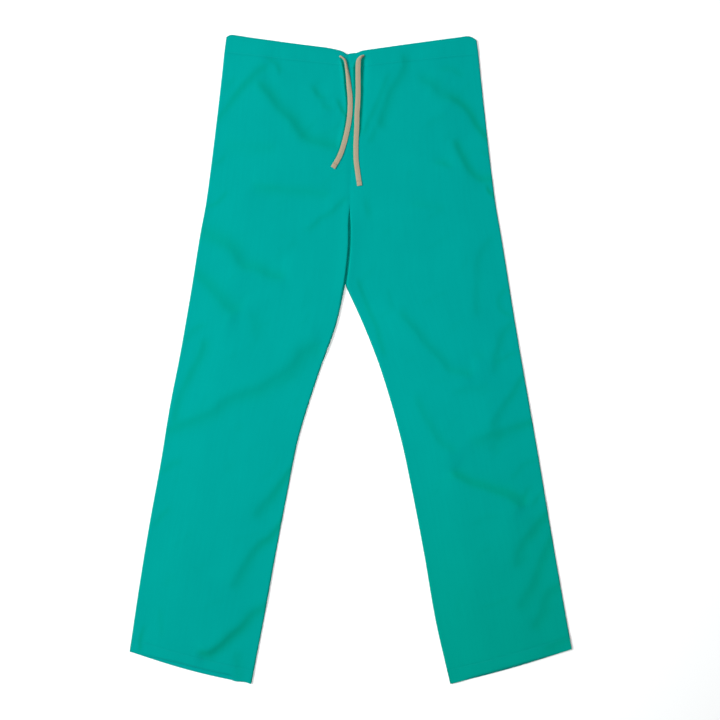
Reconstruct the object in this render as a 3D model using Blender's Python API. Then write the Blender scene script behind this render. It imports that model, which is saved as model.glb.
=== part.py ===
"""Drawstring scrub trousers of plain-woven cloth, laid flat on a table with the front up.

Run it in Blender 4.5, from the command line or the text editor. The tables are in millimetres, as a
pattern cutter writes them, and the finished pieces are in metres. In the tables x runs to the right of
someone who looks down on the front, and "down" runs from the top of the waist towards the hems. The
wearer's right leg therefore lies at negative x. The origin is the middle of the outline, on the table.
"""

from bisect import bisect_right
from collections import namedtuple
from math import exp, hypot, pi, radians, sin, sqrt

import bmesh
import bpy
from mathutils import Vector
from mathutils.bvhtree import BVHTree

MM = 0.001

# Driving sizes, in millimetres
WALL = 1.2  # one layer of cloth
TURNED = 2.0  # a turned and sewn double layer, as in the casing and the hems
SEAM_GAP = 0.3  # between two pieces that are sewn together or lie on each other
CASING_DEPTH = 32.0  # from the top edge down to the casing seam
HEM_DEPTH = 25.0
PANEL_LOFT = 4.0  # how far the front stands over the back, between its folds
CASING_LOFT = 2.4
LEAST_LOFT = 0.15
SIDE_ROLL = 13.0  # the width in which the front comes down to the back at a side or an inseam
ROLL_INSET = 0.8  # a front's rolled edge starts this far in, so that its wall ends over the back's edge
SEAM_DIP = 1.0  # how far the front sinks at the centre seam
SEAM_DIP_REACH = 9.0
SEAM_FADE = 24.0  # the width in which the folds die out towards the centre seam

# The dark parting between the thighs, where each front rolls down beside the crotch
PARTING = 2.2  # how far each front's edge stands back from the seam there
PARTING_ROLL = 6.0
LIP_HEIGHT = 6.0
LIP_REACH = 24.0

# How each half lies: how far the top edge turns down at the centre front, over the drawstring, and how
# far the middle of the front's hem lies above the back's
RIGHT_LIE = (6.0, 8.5)
LEFT_LIE = (1.0, 1.5)
TURN_DOWN_REACH = 18.0
HEM_RISE = 1.2  # how far the front climbs beside its hem, which is thicker
HEM_RISE_RUN = 30.0
CORNER_EASE = 9.0  # the rounding of the waist's outer corners

SLIT_LENGTH, SLIT_WIDTH = 9.0, 3.4
TAPE_WIDTH, TAPE_THICK = 10.0, 1.0
TAPE_BUNCHED = 4.4  # the tape's width where it squeezes through its slit
TAPE_SPREAD_RUN = 26.0  # the run after which the tape lies at its full width
TAPE_GAP = 0.5  # from the tape down to the highest cloth beneath it
TAPE_STEP = 6.0

SHARP_EDGE = 50.0  # degrees: a cut or folded edge, where the shading breaks

# Colours, as linear RGBA
CLOTH_COLOUR = (0.0015, 0.370, 0.325, 1.0)
TAPE_COLOUR = (0.50, 0.37, 0.235, 1.0)

ACROSS_EDGE = (0.0, 3.0, 9.0, 20.0)  # a panel's columns near its edges
ACROSS_MIDDLE = 12  # and how many more there are between those
PANEL_ROWS, CASING_ROWS, HEM_ROWS, BACK_ROWS = 66, 4, 3, 30

# The centre seam, shared by both halves from the waist to the crotch: its x at each place down
SEAM_DOWN = (20, 75, 139, 220, 302, 373, 412, 450)
SEAM_X = (-8, -2, 2, 1, -2, -2, -5, -10)

# A row for each section across a leg: its outer and inner end, how far the front's inner edge stands back
# from the seam there, and how far the middle of the section hangs below the line between its ends. The
# inner end is on the centre seam down to the crotch, then on the inseam.
Section = namedtuple("Section", "name outer_x outer_down inner_x inner_down parting bow")
RIGHT_SECTIONS = (
    Section("waist", -224, -2, -7, 28, 0, 0),
    Section("high hip", -238, 126, 2, 139, 0, 0),
    Section("hip", -259, 293, -2, 302, 0, 0),
    Section("low hip", -272, 365, -2, 373, PARTING, 0),
    Section("crotch", -284, 441, -10, 450, PARTING, 0),
    Section("upper thigh", -295, 506, -27, 524, 0, 0),
    Section("thigh", -307, 574, -58, 610, 0, 0),
    Section("above knee", -326, 671, -93, 722, 0, 0),
    Section("knee", -342, 769, -113, 819, 0, 0),
    Section("mid calf", -363, 884, -135, 934, 0, 0),
    Section("calf", -382, 1001, -157, 1055, 0, 0),
    Section("hem", -398, 1112, -179, 1167, 0, 5),
)
LEFT_SECTIONS = (
    Section("waist", 227, -1, -7, 33, 0, 0),
    Section("high hip", 240, 131, 2, 139, 0, 0),
    Section("hip", 259, 292, -2, 302, 0, 0),
    Section("low hip", 272, 369, -2, 373, PARTING, 0),
    Section("crotch", 283, 437, -10, 450, PARTING, 0),
    Section("upper thigh", 293, 500, 23, 522, 0, 0),
    Section("thigh", 305, 571, 56, 608, 0, 0),
    Section("above knee", 322, 668, 89, 722, 0, 0),
    Section("knee", 339, 765, 110, 819, 0, 0),
    Section("mid calf", 358, 878, 132, 934, 0, 0),
    Section("calf", 379, 999, 153, 1055, 0, 0),
    Section("hem", 398, 1108, 179, 1168, 0, 3),
)

# A row for each of the largest folds: three points along its trough, its depth and its reach to each side.
# A softer ridge stands on the left of someone who walks along it.
Fold = namedtuple("Fold", "name x1 down1 x2 down2 x3 down3 depth reach")
RIGHT_FOLDS = (
    Fold("side of the waist", -235, 149, -194, 99, -154, 56, 3.0, 12),
    Fold("front hip", -27, 198, -109, 148, -165, 86, 4.6, 16),
    Fold("from the crotch", -75, 347, -43, 324, -7, 299, 3.0, 12),
    Fold("hip", -129, 436, -203, 400, -259, 360, 3.2, 17),
    Fold("side of the thigh", -208, 504, -244, 464, -277, 432, 3.5, 16),
    Fold("low on the thigh", -307, 655, -286, 603, -268, 562, 3.2, 12),
    Fold("across the knee", -322, 709, -214, 652, -61, 565, 4.6, 17),
    Fold("inner calf", -162, 850, -136, 821, -115, 797, 3.8, 13),
    Fold("inner shin", -210, 977, -171, 927, -131, 893, 3.8, 13),
    Fold("above the hem", -257, 1112, -203, 1067, -162, 1035, 5.7, 15),
)
LEFT_FOLDS = (
    Fold("front of the waist", 49, 151, 83, 95, 94, 45, 3.2, 13),
    Fold("side of the waist", 245, 187, 200, 126, 143, 90, 4.6, 15),
    Fold("side of the hip", 249, 265, 206, 236, 188, 194, 4.3, 14),
    Fold("low hip", 227, 486, 229, 391, 265, 360, 3.2, 14),
    Fold("side of the thigh", 256, 598, 265, 560, 279, 531, 3.2, 12),
    Fold("down the thigh", 234, 619, 137, 558, 96, 508, 4.1, 15),
    Fold("above the knee", 252, 704, 279, 661, 306, 619, 3.8, 13),
    Fold("side of the knee", 216, 722, 278, 711, 324, 695, 4.3, 14),
    Fold("inside of the knee", 184, 749, 141, 700, 117, 655, 4.1, 14),
    Fold("below the knee", 296, 824, 227, 806, 171, 776, 3.5, 15),
    Fold("side of the calf", 297, 940, 328, 893, 355, 866, 4.6, 13),
    Fold("side of the shin", 303, 1030, 335, 972, 350, 923, 3.8, 13),
    Fold("side above the hem", 328, 1073, 350, 1024, 371, 994, 4.1, 12),
)
RIDGE_HEIGHT = 1.3  # of the trough's depth
RIDGE_OFFSET = 1.6  # of the trough's reach
RIDGE_REACH = 1.3

# The routes of the tape's free ends over the front, from their slits
RIGHT_ROUTE = (
    (-14, 43), (-10, 56), (-8, 67), (-6, 81), (-4, 95), (-2, 110), (-1, 124), (-2, 137), (-3, 149),
    (-5, 162), (-8, 175), (-12, 189), (-16, 203), (-22, 218), (-27, 230), (-34, 240),
)  # fmt: skip
LEFT_ROUTE = (
    (18, 43), (15, 54), (13, 67), (12.5, 81), (12, 99), (12, 117), (11.5, 135), (11, 153), (10, 171),
    (9, 189), (9, 207), (9, 225), (11, 239), (13, 254), (16, 272),
)  # fmt: skip
# Where each tape end leaves its slit. It heads for the centre, then turns down.
RIGHT_SLIT = (-20, 40)
LEFT_SLIT = (23, 39)


def eased(part):
    """A smooth step from 0 to 1."""
    part = min(max(part, 0.0), 1.0)
    return part * part * (3 - 2 * part)


def rolled(part):
    """A quarter of an ellipse, from 0 at a panel's edge to 1 where the roll ends."""
    return sqrt(1 - (1 - min(max(part, 0.0), 1.0)) ** 2)


def smooth(knots, values, at):
    """The value at a place on a smooth curve through a table's values."""
    i = min(max(bisect_right(knots, at) - 1, 0), len(knots) - 2)

    def slope(k):
        before, after = max(k - 1, 0), min(k + 1, len(knots) - 1)
        return (values[after] - values[before]) / (knots[after] - knots[before])

    span = knots[i + 1] - knots[i]
    t = (at - knots[i]) / span
    start, end = slope(i) * span, slope(i + 1) * span
    rise = values[i + 1] - values[i]
    return values[i] + t * (start + t * (3 * rise - 2 * start - end + t * (start + end - 2 * rise)))


class Trough:
    """The line of one fold, as a smooth arc through its three points."""

    STEPS = 12

    def __init__(self, fold):
        self.fold = fold
        ends = (fold.x1, -fold.down1), (fold.x3, -fold.down3)
        pull = [2 * m - (a + b) / 2 for m, a, b in zip((fold.x2, -fold.down2), *ends)]
        self.points = []
        for i in range(self.STEPS + 1):
            t = i / self.STEPS
            weights = (1 - t) ** 2, 2 * t * (1 - t), t**2
            columns = zip(ends[0], pull, ends[1])
            self.points.append([sum(w * c for w, c in zip(weights, column)) for column in columns])

    def nearest(self, x, y):
        """The signed distance to the line, positive on its left, and how far along the line that is."""
        best = None
        for i, ((ax, ay), (bx, by)) in enumerate(zip(self.points, self.points[1:])):
            dx, dy = bx - ax, by - ay
            t = min(max(((x - ax) * dx + (y - ay) * dy) / (dx * dx + dy * dy), 0.0), 1.0)
            px, py = x - ax - t * dx, y - ay - t * dy
            away = hypot(px, py)
            if best is None or away < best[0]:
                best = away, dx * py - dy * px, (i + t) / self.STEPS
        away, turn, along = best
        return (away if turn >= 0 else -away), along

    def height(self, x, y):
        """What the fold adds to the cloth's height: a trough and the ridge beside it."""
        fold = self.fold
        away, along = self.nearest(x, y)
        if abs(away) > 5 * fold.reach:
            return 0.0
        fade = sin(pi * min(max(along, 0.06), 0.94)) ** 0.6
        trough = -exp(-((away / fold.reach) ** 2))
        ridge = exp(-(((away / fold.reach - RIDGE_OFFSET) / RIDGE_REACH) ** 2))
        return fold.depth * fade * (trough + RIDGE_HEIGHT * ridge)


class Leg:
    """The outline of one leg with its half of the waist, and the height of its front."""

    def __init__(self, sections, folds, turn_down, hem_lag):
        self.sections = sections
        self.levels = [(row.outer_down + row.inner_down) / 2 for row in sections]
        self.crotch = [row.name for row in sections].index("crotch")
        self.troughs = [Trough(fold) for fold in folds]
        self.turn_down = turn_down
        self.hem_lag = hem_lag
        self.outward = 1 if sections[0].outer_x > 0 else -1

    @property
    def top(self):
        return self.levels[0]

    @property
    def bottom(self):
        return self.levels[-1]

    def read(self, column, level):
        """One column of the sections' table at any level."""
        return smooth(self.levels, [getattr(row, column) for row in self.sections], level)

    def inner_end(self, level):
        """The inner end of the section at a level: on the centre seam, or below the crotch on the inseam."""
        below = level > self.levels[self.crotch]
        rows = slice(self.crotch, None) if below else slice(self.crotch + 1)
        levels, sections = self.levels[rows], self.sections[rows]
        down = smooth(levels, [row.inner_down for row in sections], level)
        if below:
            return smooth(levels, [row.inner_x for row in sections], level), down
        return smooth(SEAM_DOWN, SEAM_X, down), down

    def ends(self, level, front):
        """The outer and the inner end of the section at a level, each as x and down."""
        outer = Vector((self.read("outer_x", level), self.read("outer_down", level)))
        inner = Vector(self.inner_end(level))
        back_off = SEAM_GAP / 2
        if front:
            sewn = level < self.levels[self.crotch]
            back_off += self.parting(level) + (0.0 if sewn else ROLL_INSET)
            outer.x -= self.outward * ROLL_INSET
        inner.x += self.outward * back_off
        return outer, inner

    def place(self, across, level, front=True):
        """The spot at a share of the way across a section, its two edge distances, as x, down, out, in."""
        outer, inner = self.ends(level, front)
        spot = outer.lerp(inner, across)
        width = (inner - outer).length
        down = spot.y + self.read("bow", level) * sin(pi * across)
        return spot.x, down, across * width, (1 - across) * width

    def parting(self, level):
        """How far the front's inner edge stands back from the seam."""
        return max(self.read("parting", level), 0.0)

    def front_loft(self, level, spot):
        """How far the front stands over the back at a spot that place gave."""
        x, down, from_outer, from_inner = spot
        parted = eased(self.parting(level) / PARTING)
        sewn = 1 - parted if level < self.levels[self.crotch] else 0.0
        inner_roll = SIDE_ROLL + (PARTING_ROLL - SIDE_ROLL) * parted
        folds = sum(trough.height(x, -down) for trough in self.troughs)
        loft = PANEL_LOFT + LIP_HEIGHT * parted * exp(-((from_inner / LIP_REACH) ** 2))
        loft += folds * (1 - sewn * (1 - eased(from_inner / SEAM_FADE)))
        free_edge = rolled(from_inner / inner_roll)
        sewn_edge = 1 - SEAM_DIP / PANEL_LOFT * exp(-((from_inner / SEAM_DIP_REACH) ** 2))
        edge = free_edge + (sewn_edge - free_edge) * sewn
        return max(loft, LEAST_LOFT) * rolled(from_outer / SIDE_ROLL) * edge


# The middle of the outline, which the origin lies under
ALL_SECTIONS = RIGHT_SECTIONS + LEFT_SECTIONS
HIGHEST = min(min(row.outer_down, row.inner_down) for row in ALL_SECTIONS)
LOWEST = max(max(row.outer_down, row.inner_down) for row in ALL_SECTIONS)
MIDDLE_DOWN = (HIGHEST + LOWEST) / 2


def in_metres(x, down, height):
    """A place of the tables, in the part's own frame."""
    return Vector((x, MIDDLE_DOWN - down, height)) * MM


def material(name, colour, roughness):
    """A plain Principled material."""
    made = bpy.data.materials.new(name)
    made.use_nodes = True
    shader = made.node_tree.nodes["Principled BSDF"]
    shader.inputs["Base Color"].default_value = colour
    shader.inputs["Roughness"].default_value = roughness
    shader.inputs["Metallic"].default_value = 0.0
    made.diffuse_color = colour
    return made


def add_object(name, mesh, coat):
    """Links a bmesh into the scene as one named piece, smooth but for its cut and folded edges."""
    bmesh.ops.recalc_face_normals(mesh, faces=mesh.faces)
    data = bpy.data.meshes.new(name)
    mesh.to_mesh(data)
    mesh.free()
    data.materials.append(coat)
    data.shade_smooth()
    data.set_sharp_from_angle(angle=radians(SHARP_EDGE))
    piece = bpy.data.objects.new(name, data)
    bpy.context.collection.objects.link(piece)
    return piece


def sheet(name, columns, rows, place, wall, coat):
    """A piece of cloth: a grid whose underside is put in place point by point, then given its wall.

    columns and rows hold the grid's shares across and down, and place turns one of each into a point.
    """
    mesh = bmesh.new()
    last_column, last_row = len(columns) - 1, len(rows) - 1
    bmesh.ops.create_grid(mesh, x_segments=last_column, y_segments=last_row, size=0.5)
    for vert in mesh.verts:
        column = round((vert.co.x + 0.5) * last_column)
        row = round((0.5 - vert.co.y) * last_row)
        vert.co = place(columns[column], rows[row])
    bmesh.ops.recalc_face_normals(mesh, faces=mesh.faces)
    if sum(face.normal.z for face in mesh.faces) > 0:
        bmesh.ops.reverse_faces(mesh, faces=mesh.faces)
    bmesh.ops.solidify(mesh, geom=mesh.faces[:], thickness=wall * MM)
    return add_object(name, mesh, coat)


def steps(count):
    """Even shares from 0 to 1."""
    return [i / count for i in range(count + 1)]


def panel_columns(width):
    """Shares across a front, close together near its edges, where the cloth rolls."""
    near = [step / width for step in ACROSS_EDGE]
    first, last = near[-1], 1 - near[-1]
    middle = [first + (last - first) * share for share in steps(ACROSS_MIDDLE + 1)[1:-1]]
    return near + middle + [1 - share for share in reversed(near)]


def front_panel(name, leg, coat):
    """One front, from the casing seam to the hem seam."""
    top = leg.top + CASING_DEPTH + SEAM_GAP / 2
    bottom = leg.bottom - HEM_DEPTH - SEAM_GAP / 2
    outer, inner = leg.ends((top + bottom) / 2, front=True)

    def place(across, share):
        level = top + (bottom - top) * share
        spot = leg.place(across, level)
        near_hem = exp(-(((bottom - level) / HEM_RISE_RUN) ** 2))
        rise = HEM_RISE * near_hem * rolled(min(spot[2], spot[3]) / SIDE_ROLL)
        return in_metres(spot[0], spot[1], WALL + SEAM_GAP + rise + leg.front_loft(level, spot))

    return sheet(name, panel_columns((inner - outer).length), steps(PANEL_ROWS), place, WALL, coat)


def back_panel(name, leg, coat):
    """One back, flat on the table."""
    top = leg.top + CASING_DEPTH + SEAM_GAP / 2
    bottom = leg.bottom - HEM_DEPTH - SEAM_GAP / 2

    def place(across, share):
        x, down, _, _ = leg.place(across, top + (bottom - top) * share, front=False)
        return in_metres(x, down, 0.0)

    return sheet(name, steps(2), steps(BACK_ROWS), place, WALL, coat)


def casing(name, leg, front, coat):
    """Half of the front or back casing: the waist's turned-down edge, which the tape runs through."""
    bottom = leg.top + CASING_DEPTH - SEAM_GAP / 2

    def place(across, share):
        level = leg.top + (bottom - leg.top) * share
        x, down, from_outer, from_inner = leg.place(across, level, front=False)
        near_top = 1 - share
        centre = max(1 - from_inner / TURN_DOWN_REACH, 0.0)
        corner = max(1 - from_outer / CORNER_EASE, 0.0)
        down += near_top * (leg.turn_down * centre**2 + CORNER_EASE / 2 * corner**2)
        if not front:
            return in_metres(x, down, 0.0)
        puff = rolled(from_outer / SIDE_ROLL) * (0.4 + 0.6 * rolled(share + 0.15))
        return in_metres(x, down, TURNED + SEAM_GAP + CASING_LOFT * puff)

    width = (leg.ends(leg.top, front)[1] - leg.ends(leg.top, front)[0]).length
    return sheet(name, panel_columns(width), steps(CASING_ROWS), place, TURNED, coat)


def hem(name, leg, front, coat):
    """The turned-up edge at the end of one front or back."""
    top = leg.bottom - HEM_DEPTH + SEAM_GAP / 2

    def place(across, share):
        level = top + (leg.bottom - top) * share
        spot = leg.place(across, level, front=front)
        if not front:
            return in_metres(spot[0], spot[1], 0.0)
        lag = leg.hem_lag * sin(pi * across) * share
        return in_metres(spot[0], spot[1] - lag, TURNED + SEAM_GAP + leg.front_loft(level, spot))

    outer, inner = leg.ends(leg.bottom, front)
    columns = panel_columns((inner - outer).length) if front else steps(6)
    return sheet(name, columns, steps(HEM_ROWS), place, TURNED, coat)


def cut_slit(piece, slit, name):
    """Cuts the buttonhole slit that the tape comes out of through a front casing."""
    x, down = slit
    mesh = bmesh.new()
    bmesh.ops.create_cube(mesh, size=1.0)
    bmesh.ops.scale(mesh, vec=Vector((SLIT_WIDTH, SLIT_LENGTH, 30.0)) * MM, verts=mesh.verts)
    uprights = [edge for edge in mesh.edges if abs(edge.verts[0].co.z - edge.verts[1].co.z) > MM]
    bmesh.ops.bevel(
        mesh, geom=uprights, offset=SLIT_WIDTH * 0.4 * MM, segments=2, profile=0.5, affect="EDGES"
    )
    data = bpy.data.meshes.new(name)
    mesh.to_mesh(data)
    mesh.free()
    cutter = bpy.data.objects.new(name, data)
    bpy.context.collection.objects.link(cutter)
    cutter.location = in_metres(x, down, 0.0)
    cutter.hide_render = True
    cutter.display_type = "WIRE"
    cut = piece.modifiers.new("Slit", "BOOLEAN")
    cut.object = cutter
    cut.operation = "DIFFERENCE"


class Top:
    """Finds the top of the finished fronts and casings, for the tape to lie on."""

    SPREAD = 5.0

    def __init__(self, pieces):
        bpy.context.view_layer.update()
        state = bpy.context.evaluated_depsgraph_get()
        self.trees = [BVHTree.FromObject(piece, state) for piece in pieces]

    def height(self, x, down):
        """The highest cloth within a small spread round a spot, in millimetres."""
        found = 0.0
        for dx in (-self.SPREAD, 0.0, self.SPREAD):
            for dy in (-self.SPREAD, 0.0, self.SPREAD):
                start = in_metres(x + dx, down + dy, 100.0)
                for tree in self.trees:
                    hit = tree.ray_cast(start, Vector((0, 0, -1)))[0]
                    if hit is not None:
                        found = max(found, hit.z / MM)
        return found


def tape_end(name, slit, route, top, coat):
    """One free end of the tape: up through its slit, over the casing and down the front."""
    heading = 1 if route[0][0] > slit[0] else -1
    knots = [0.0]
    path = [(slit[0] + heading * 2.5, slit[1])] + list(route)
    for (ax, ay), (bx, by) in zip(path, path[1:]):
        knots.append(knots[-1] + hypot(bx - ax, by - ay))
    count = round(knots[-1] / TAPE_STEP)
    lift = TAPE_GAP + TAPE_THICK / 2
    rim = top.height(slit[0] + heading * SLIT_WIDTH, slit[1]) + lift
    inside = rim - TURNED - TAPE_THICK / 2
    lying = []
    for i in range(count + 1):
        at = knots[-1] * i / count
        x = smooth(knots, [spot[0] for spot in path], at)
        down = smooth(knots, [spot[1] for spot in path], at)
        lying.append((x, down, at))
    middle = [in_metres(slit[0], slit[1], inside), in_metres(slit[0], slit[1], rim)]
    middle += [in_metres(x, down, max(top.height(x, down) + lift, rim if i == 0 else 0.0))
               for i, (x, down, _) in enumerate(lying)]  # fmt: skip
    runs = [0.0, 0.0] + [at for _, _, at in lying]
    ups = [Vector((-heading, 0, 0)), Vector((-heading, 0, 1)).normalized()] + [Vector((0, 0, 1))] * len(lying)
    mesh = bmesh.new()
    rings = []
    for i, (point, run, up) in enumerate(zip(middle, runs, ups)):
        ahead = middle[min(i + 1, len(middle) - 1)] - middle[max(i - 1, 0)]
        side = ahead.cross(up).normalized()
        width = TAPE_BUNCHED + (TAPE_WIDTH - TAPE_BUNCHED) * eased(run / TAPE_SPREAD_RUN)
        half, thick = side * width / 2 * MM, up * TAPE_THICK / 2 * MM
        corners = (point - half + thick, point + half + thick, point + half - thick, point - half - thick)
        rings.append([mesh.verts.new(corner) for corner in corners])
    mesh.faces.new(rings[0])
    mesh.faces.new(reversed(rings[-1]))
    for near, far in zip(rings, rings[1:]):
        for i in range(4):
            mesh.faces.new((near[i], far[i], far[(i + 1) % 4], near[(i + 1) % 4]))
    return add_object(name, mesh, coat)


def main():
    """Builds every piece of the trousers."""
    for old in list(bpy.data.objects):
        bpy.data.objects.remove(old)
    cloth = material("Plain-woven cloth", CLOTH_COLOUR, 0.9)
    twill = material("Twill tape", TAPE_COLOUR, 0.85)
    sides = (
        ("right", Leg(RIGHT_SECTIONS, RIGHT_FOLDS, *RIGHT_LIE), RIGHT_SLIT, RIGHT_ROUTE),
        ("left", Leg(LEFT_SECTIONS, LEFT_FOLDS, *LEFT_LIE), LEFT_SLIT, LEFT_ROUTE),
    )
    under_tape = []
    for side, leg, slit, _ in sides:
        back_panel(f"back_{side}", leg, cloth)
        hem(f"hem_back_{side}", leg, False, cloth)
        casing(f"casing_back_{side}", leg, False, cloth)
        under_tape.append(front_panel(f"front_{side}", leg, cloth))
        hem(f"hem_front_{side}", leg, True, cloth)
        under_tape.append(casing(f"casing_front_{side}", leg, True, cloth))
        cut_slit(under_tape[-1], slit, f"slit_cutter_{side}")
    top = Top(under_tape)
    for side, _, slit, route in sides:
        tape_end(f"drawstring_{side}", slit, route, top, twill)


main()
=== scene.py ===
"""The looks of a pair of drawstring scrub trousers, laid flat on a pale floor with the front up.

Lengths in the tables are in millimetres, as a pattern cutter writes them: x runs to the right of someone
who looks down on the front, and "down" runs from the top of the waist towards the hems. The wearer's right
leg therefore lies at negative x. Finished meshes are in metres, in the frame's own axes.
"""

import logging
import math
import random
from dataclasses import dataclass, field
from enum import Enum
from typing import Callable, ClassVar, Sequence

import bmesh
import bpy
import numpy as np
from mathutils import Matrix, Vector, noise
from mathutils.bvhtree import BVHTree

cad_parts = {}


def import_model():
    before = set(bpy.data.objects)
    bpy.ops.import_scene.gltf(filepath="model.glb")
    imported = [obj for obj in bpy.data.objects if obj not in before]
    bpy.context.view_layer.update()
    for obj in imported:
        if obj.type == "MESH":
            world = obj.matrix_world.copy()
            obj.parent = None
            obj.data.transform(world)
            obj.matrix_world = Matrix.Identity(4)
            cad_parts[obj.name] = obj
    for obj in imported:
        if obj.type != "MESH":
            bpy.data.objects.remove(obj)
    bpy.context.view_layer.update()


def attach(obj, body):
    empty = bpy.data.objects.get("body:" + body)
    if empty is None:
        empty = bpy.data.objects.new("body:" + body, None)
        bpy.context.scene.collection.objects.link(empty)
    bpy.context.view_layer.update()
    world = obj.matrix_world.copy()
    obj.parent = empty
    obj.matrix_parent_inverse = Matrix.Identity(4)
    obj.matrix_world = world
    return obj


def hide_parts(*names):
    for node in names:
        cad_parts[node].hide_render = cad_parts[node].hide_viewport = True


LOG = logging.getLogger("scrub_trousers")
BODY = "root"
UV_MAP = "OFBake"
MM = 0.001
TINY = 1e-6
THINNING = 0.6  # a step of a grid this near to an extra one makes way, in gaps between the extra ones
SHARP = math.radians(55)  # an edge that turns more than this is rounded
UP = Vector((0, 0, 1))
FINE_GRAIN = 900.0  # the scale of noise that is finer than a thread, on metres

Place = tuple[float, float]  # x and down
Hole = tuple[float, float, float, float]  # its sides across and its ends down, as shares

# Driving sizes, in millimetres
SEAM_GAP = 0.02  # between two pieces that are sewn together
CASING_DEPTH = 32.0  # from the top edge down to the casing seam
HEM_DEPTH = 25.0
POPLIN_WALL = 0.6  # one layer of cloth
TURNED_WALL = 1.4  # a turned and sewn double layer
FRONT_LOFT = 4.9  # how far the front's top stands over its own rolled edges, between the folds
EDGE_HEIGHT = 1.35  # the front's top at a rolled edge
EDGE_INSET = 0.3  # how far a rolled edge lies inside the back's outline
MIDDLE_DOWN = 583.0  # the middle of the outline, which the frame's origin lies under

# The parting between the thighs, where the fronts roll down beside each other
PARTING_TOP, PARTING_RUN = 298.0, 44.0  # where it starts, and how soon it is fully open
PARTING_FADE = 45.0  # how soon it closes past the crotch
PARTING_GAP = 1.1  # how far it pulls each front back
LIP_HEIGHT, LIP_REACH = 1.6, 15.0  # how the cloth stands up beside it

# The centre seam, shared by both halves from the waist to the crotch: its x at each place down
SEAM_DOWN = (20, 75, 139, 220, 302, 373, 412, 450)
SEAM_X = (-8, -2, 2, 1, -2, -2, -5, -10)


class Side(Enum):
    """The wearer's side that a half of the trousers is on."""

    RIGHT = "right"
    LEFT = "left"

    @property
    def outward(self) -> int:
        """The sign of x away from the centre seam."""
        return -1 if self is Side.RIGHT else 1


class Layer(Enum):
    """The side of the flat trousers that a piece of cloth is on."""

    FRONT = "front"
    BACK = "back"


@dataclass(frozen=True)
class Section:
    """A cut across one leg, from its outer end to the centre seam or, below the crotch, to the inseam."""

    name: str
    outer_x: float
    outer_down: float
    inner_x: float
    inner_down: float
    bow: float = 0.0


RIGHT_SECTIONS = (
    Section("waist", -224, -1.7, -7, 27.3, 1),
    Section("high hip", -238, 126, 2, 139),
    Section("hip", -259, 293, -2, 302),
    Section("low hip", -272, 365, -2, 373),
    Section("crotch", -284, 441, -10, 450),
    Section("upper thigh", -295, 506, -27, 524),
    Section("thigh", -307, 574, -58, 610),
    Section("above knee", -326, 671, -93, 722),
    Section("knee", -342, 769, -113, 819),
    Section("mid calf", -363, 884, -135, 934),
    Section("calf", -382, 1001, -157, 1055),
    Section("hem", -398, 1109.6, -179, 1167.8, 5),
)
LEFT_SECTIONS = (
    Section("waist", 226.5, 0.1, -7, 32.2, -0.4),
    Section("high hip", 240, 131, 2, 139),
    Section("hip", 259, 292, -2, 302),
    Section("low hip", 272, 369, -2, 373),
    Section("crotch", 283, 437, -10, 450),
    Section("upper thigh", 293, 500, 23, 522),
    Section("thigh", 305, 571, 56, 608),
    Section("above knee", 322, 668, 89, 722),
    Section("knee", 339, 765, 110, 819),
    Section("mid calf", 358, 878, 132, 934),
    Section("calf", 379, 999, 153, 1055),
    Section("hem", 398, 1105.2, 179, 1167.7, 3),
)
CROTCH_ROW = 4


def eased(part: np.ndarray) -> np.ndarray:
    """A smooth step from 0 to 1."""
    part = np.clip(part, 0.0, 1.0)
    return part * part * (3 - 2 * part)


def rolled(part: np.ndarray) -> np.ndarray:
    """A quarter of an ellipse, from 0 at an edge to 1 where its roll ends."""
    return np.sqrt(np.maximum(1 - (1 - np.clip(part, 0.0, 1.0)) ** 2, 0.0))


def raised(value: np.ndarray, least: float) -> np.ndarray:
    """The value, bent softly so that it stays over the least."""
    return least + ((value - least) + np.sqrt((value - least) ** 2 + 1.0)) / 2


def smooth(knots: Sequence[float], values: Sequence[float], at: np.ndarray) -> np.ndarray:
    """Reads a smooth curve through a table's values.

    Args:
        knots: where the table's rows are, in rising order.
        values: the value at each row.
        at: the places to read.

    Returns:
        The value at each place.
    """
    knots, values, at = np.asarray(knots, float), np.asarray(values, float), np.asarray(at, float)
    last = len(knots) - 1
    rows = np.arange(last + 1)
    before, after = np.maximum(rows - 1, 0), np.minimum(rows + 1, last)
    slopes = (values[after] - values[before]) / (knots[after] - knots[before])
    i = np.clip(np.searchsorted(knots, at, side="right") - 1, 0, last - 1)
    span = knots[i + 1] - knots[i]
    t = (at - knots[i]) / span
    start, end, rise = slopes[i] * span, slopes[i + 1] * span, values[i + 1] - values[i]
    return values[i] + t * (start + t * (3 * rise - 2 * start - end + t * (start + end - 2 * rise)))


def noise_at(x: np.ndarray, y: np.ndarray, seed: float) -> np.ndarray:
    """Smooth noise between about -1 and 1 at each place, the same in each run."""
    flat = [noise.noise((a, b, seed)) for a, b in zip(np.ravel(x), np.ravel(y))]
    return np.array(flat).reshape(np.shape(x))


def runs_along(path: Sequence[Place]) -> np.ndarray:
    """How far along a path each of its points is."""
    return np.concatenate([[0.0], np.cumsum([math.dist(a, b) for a, b in zip(path, path[1:])])])


def in_metres(x: np.ndarray, down: np.ndarray, height: np.ndarray) -> np.ndarray:
    """Places of the tables as rows of points in the frame."""
    return np.column_stack([x, MIDDLE_DOWN - down, height]) * MM


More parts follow.
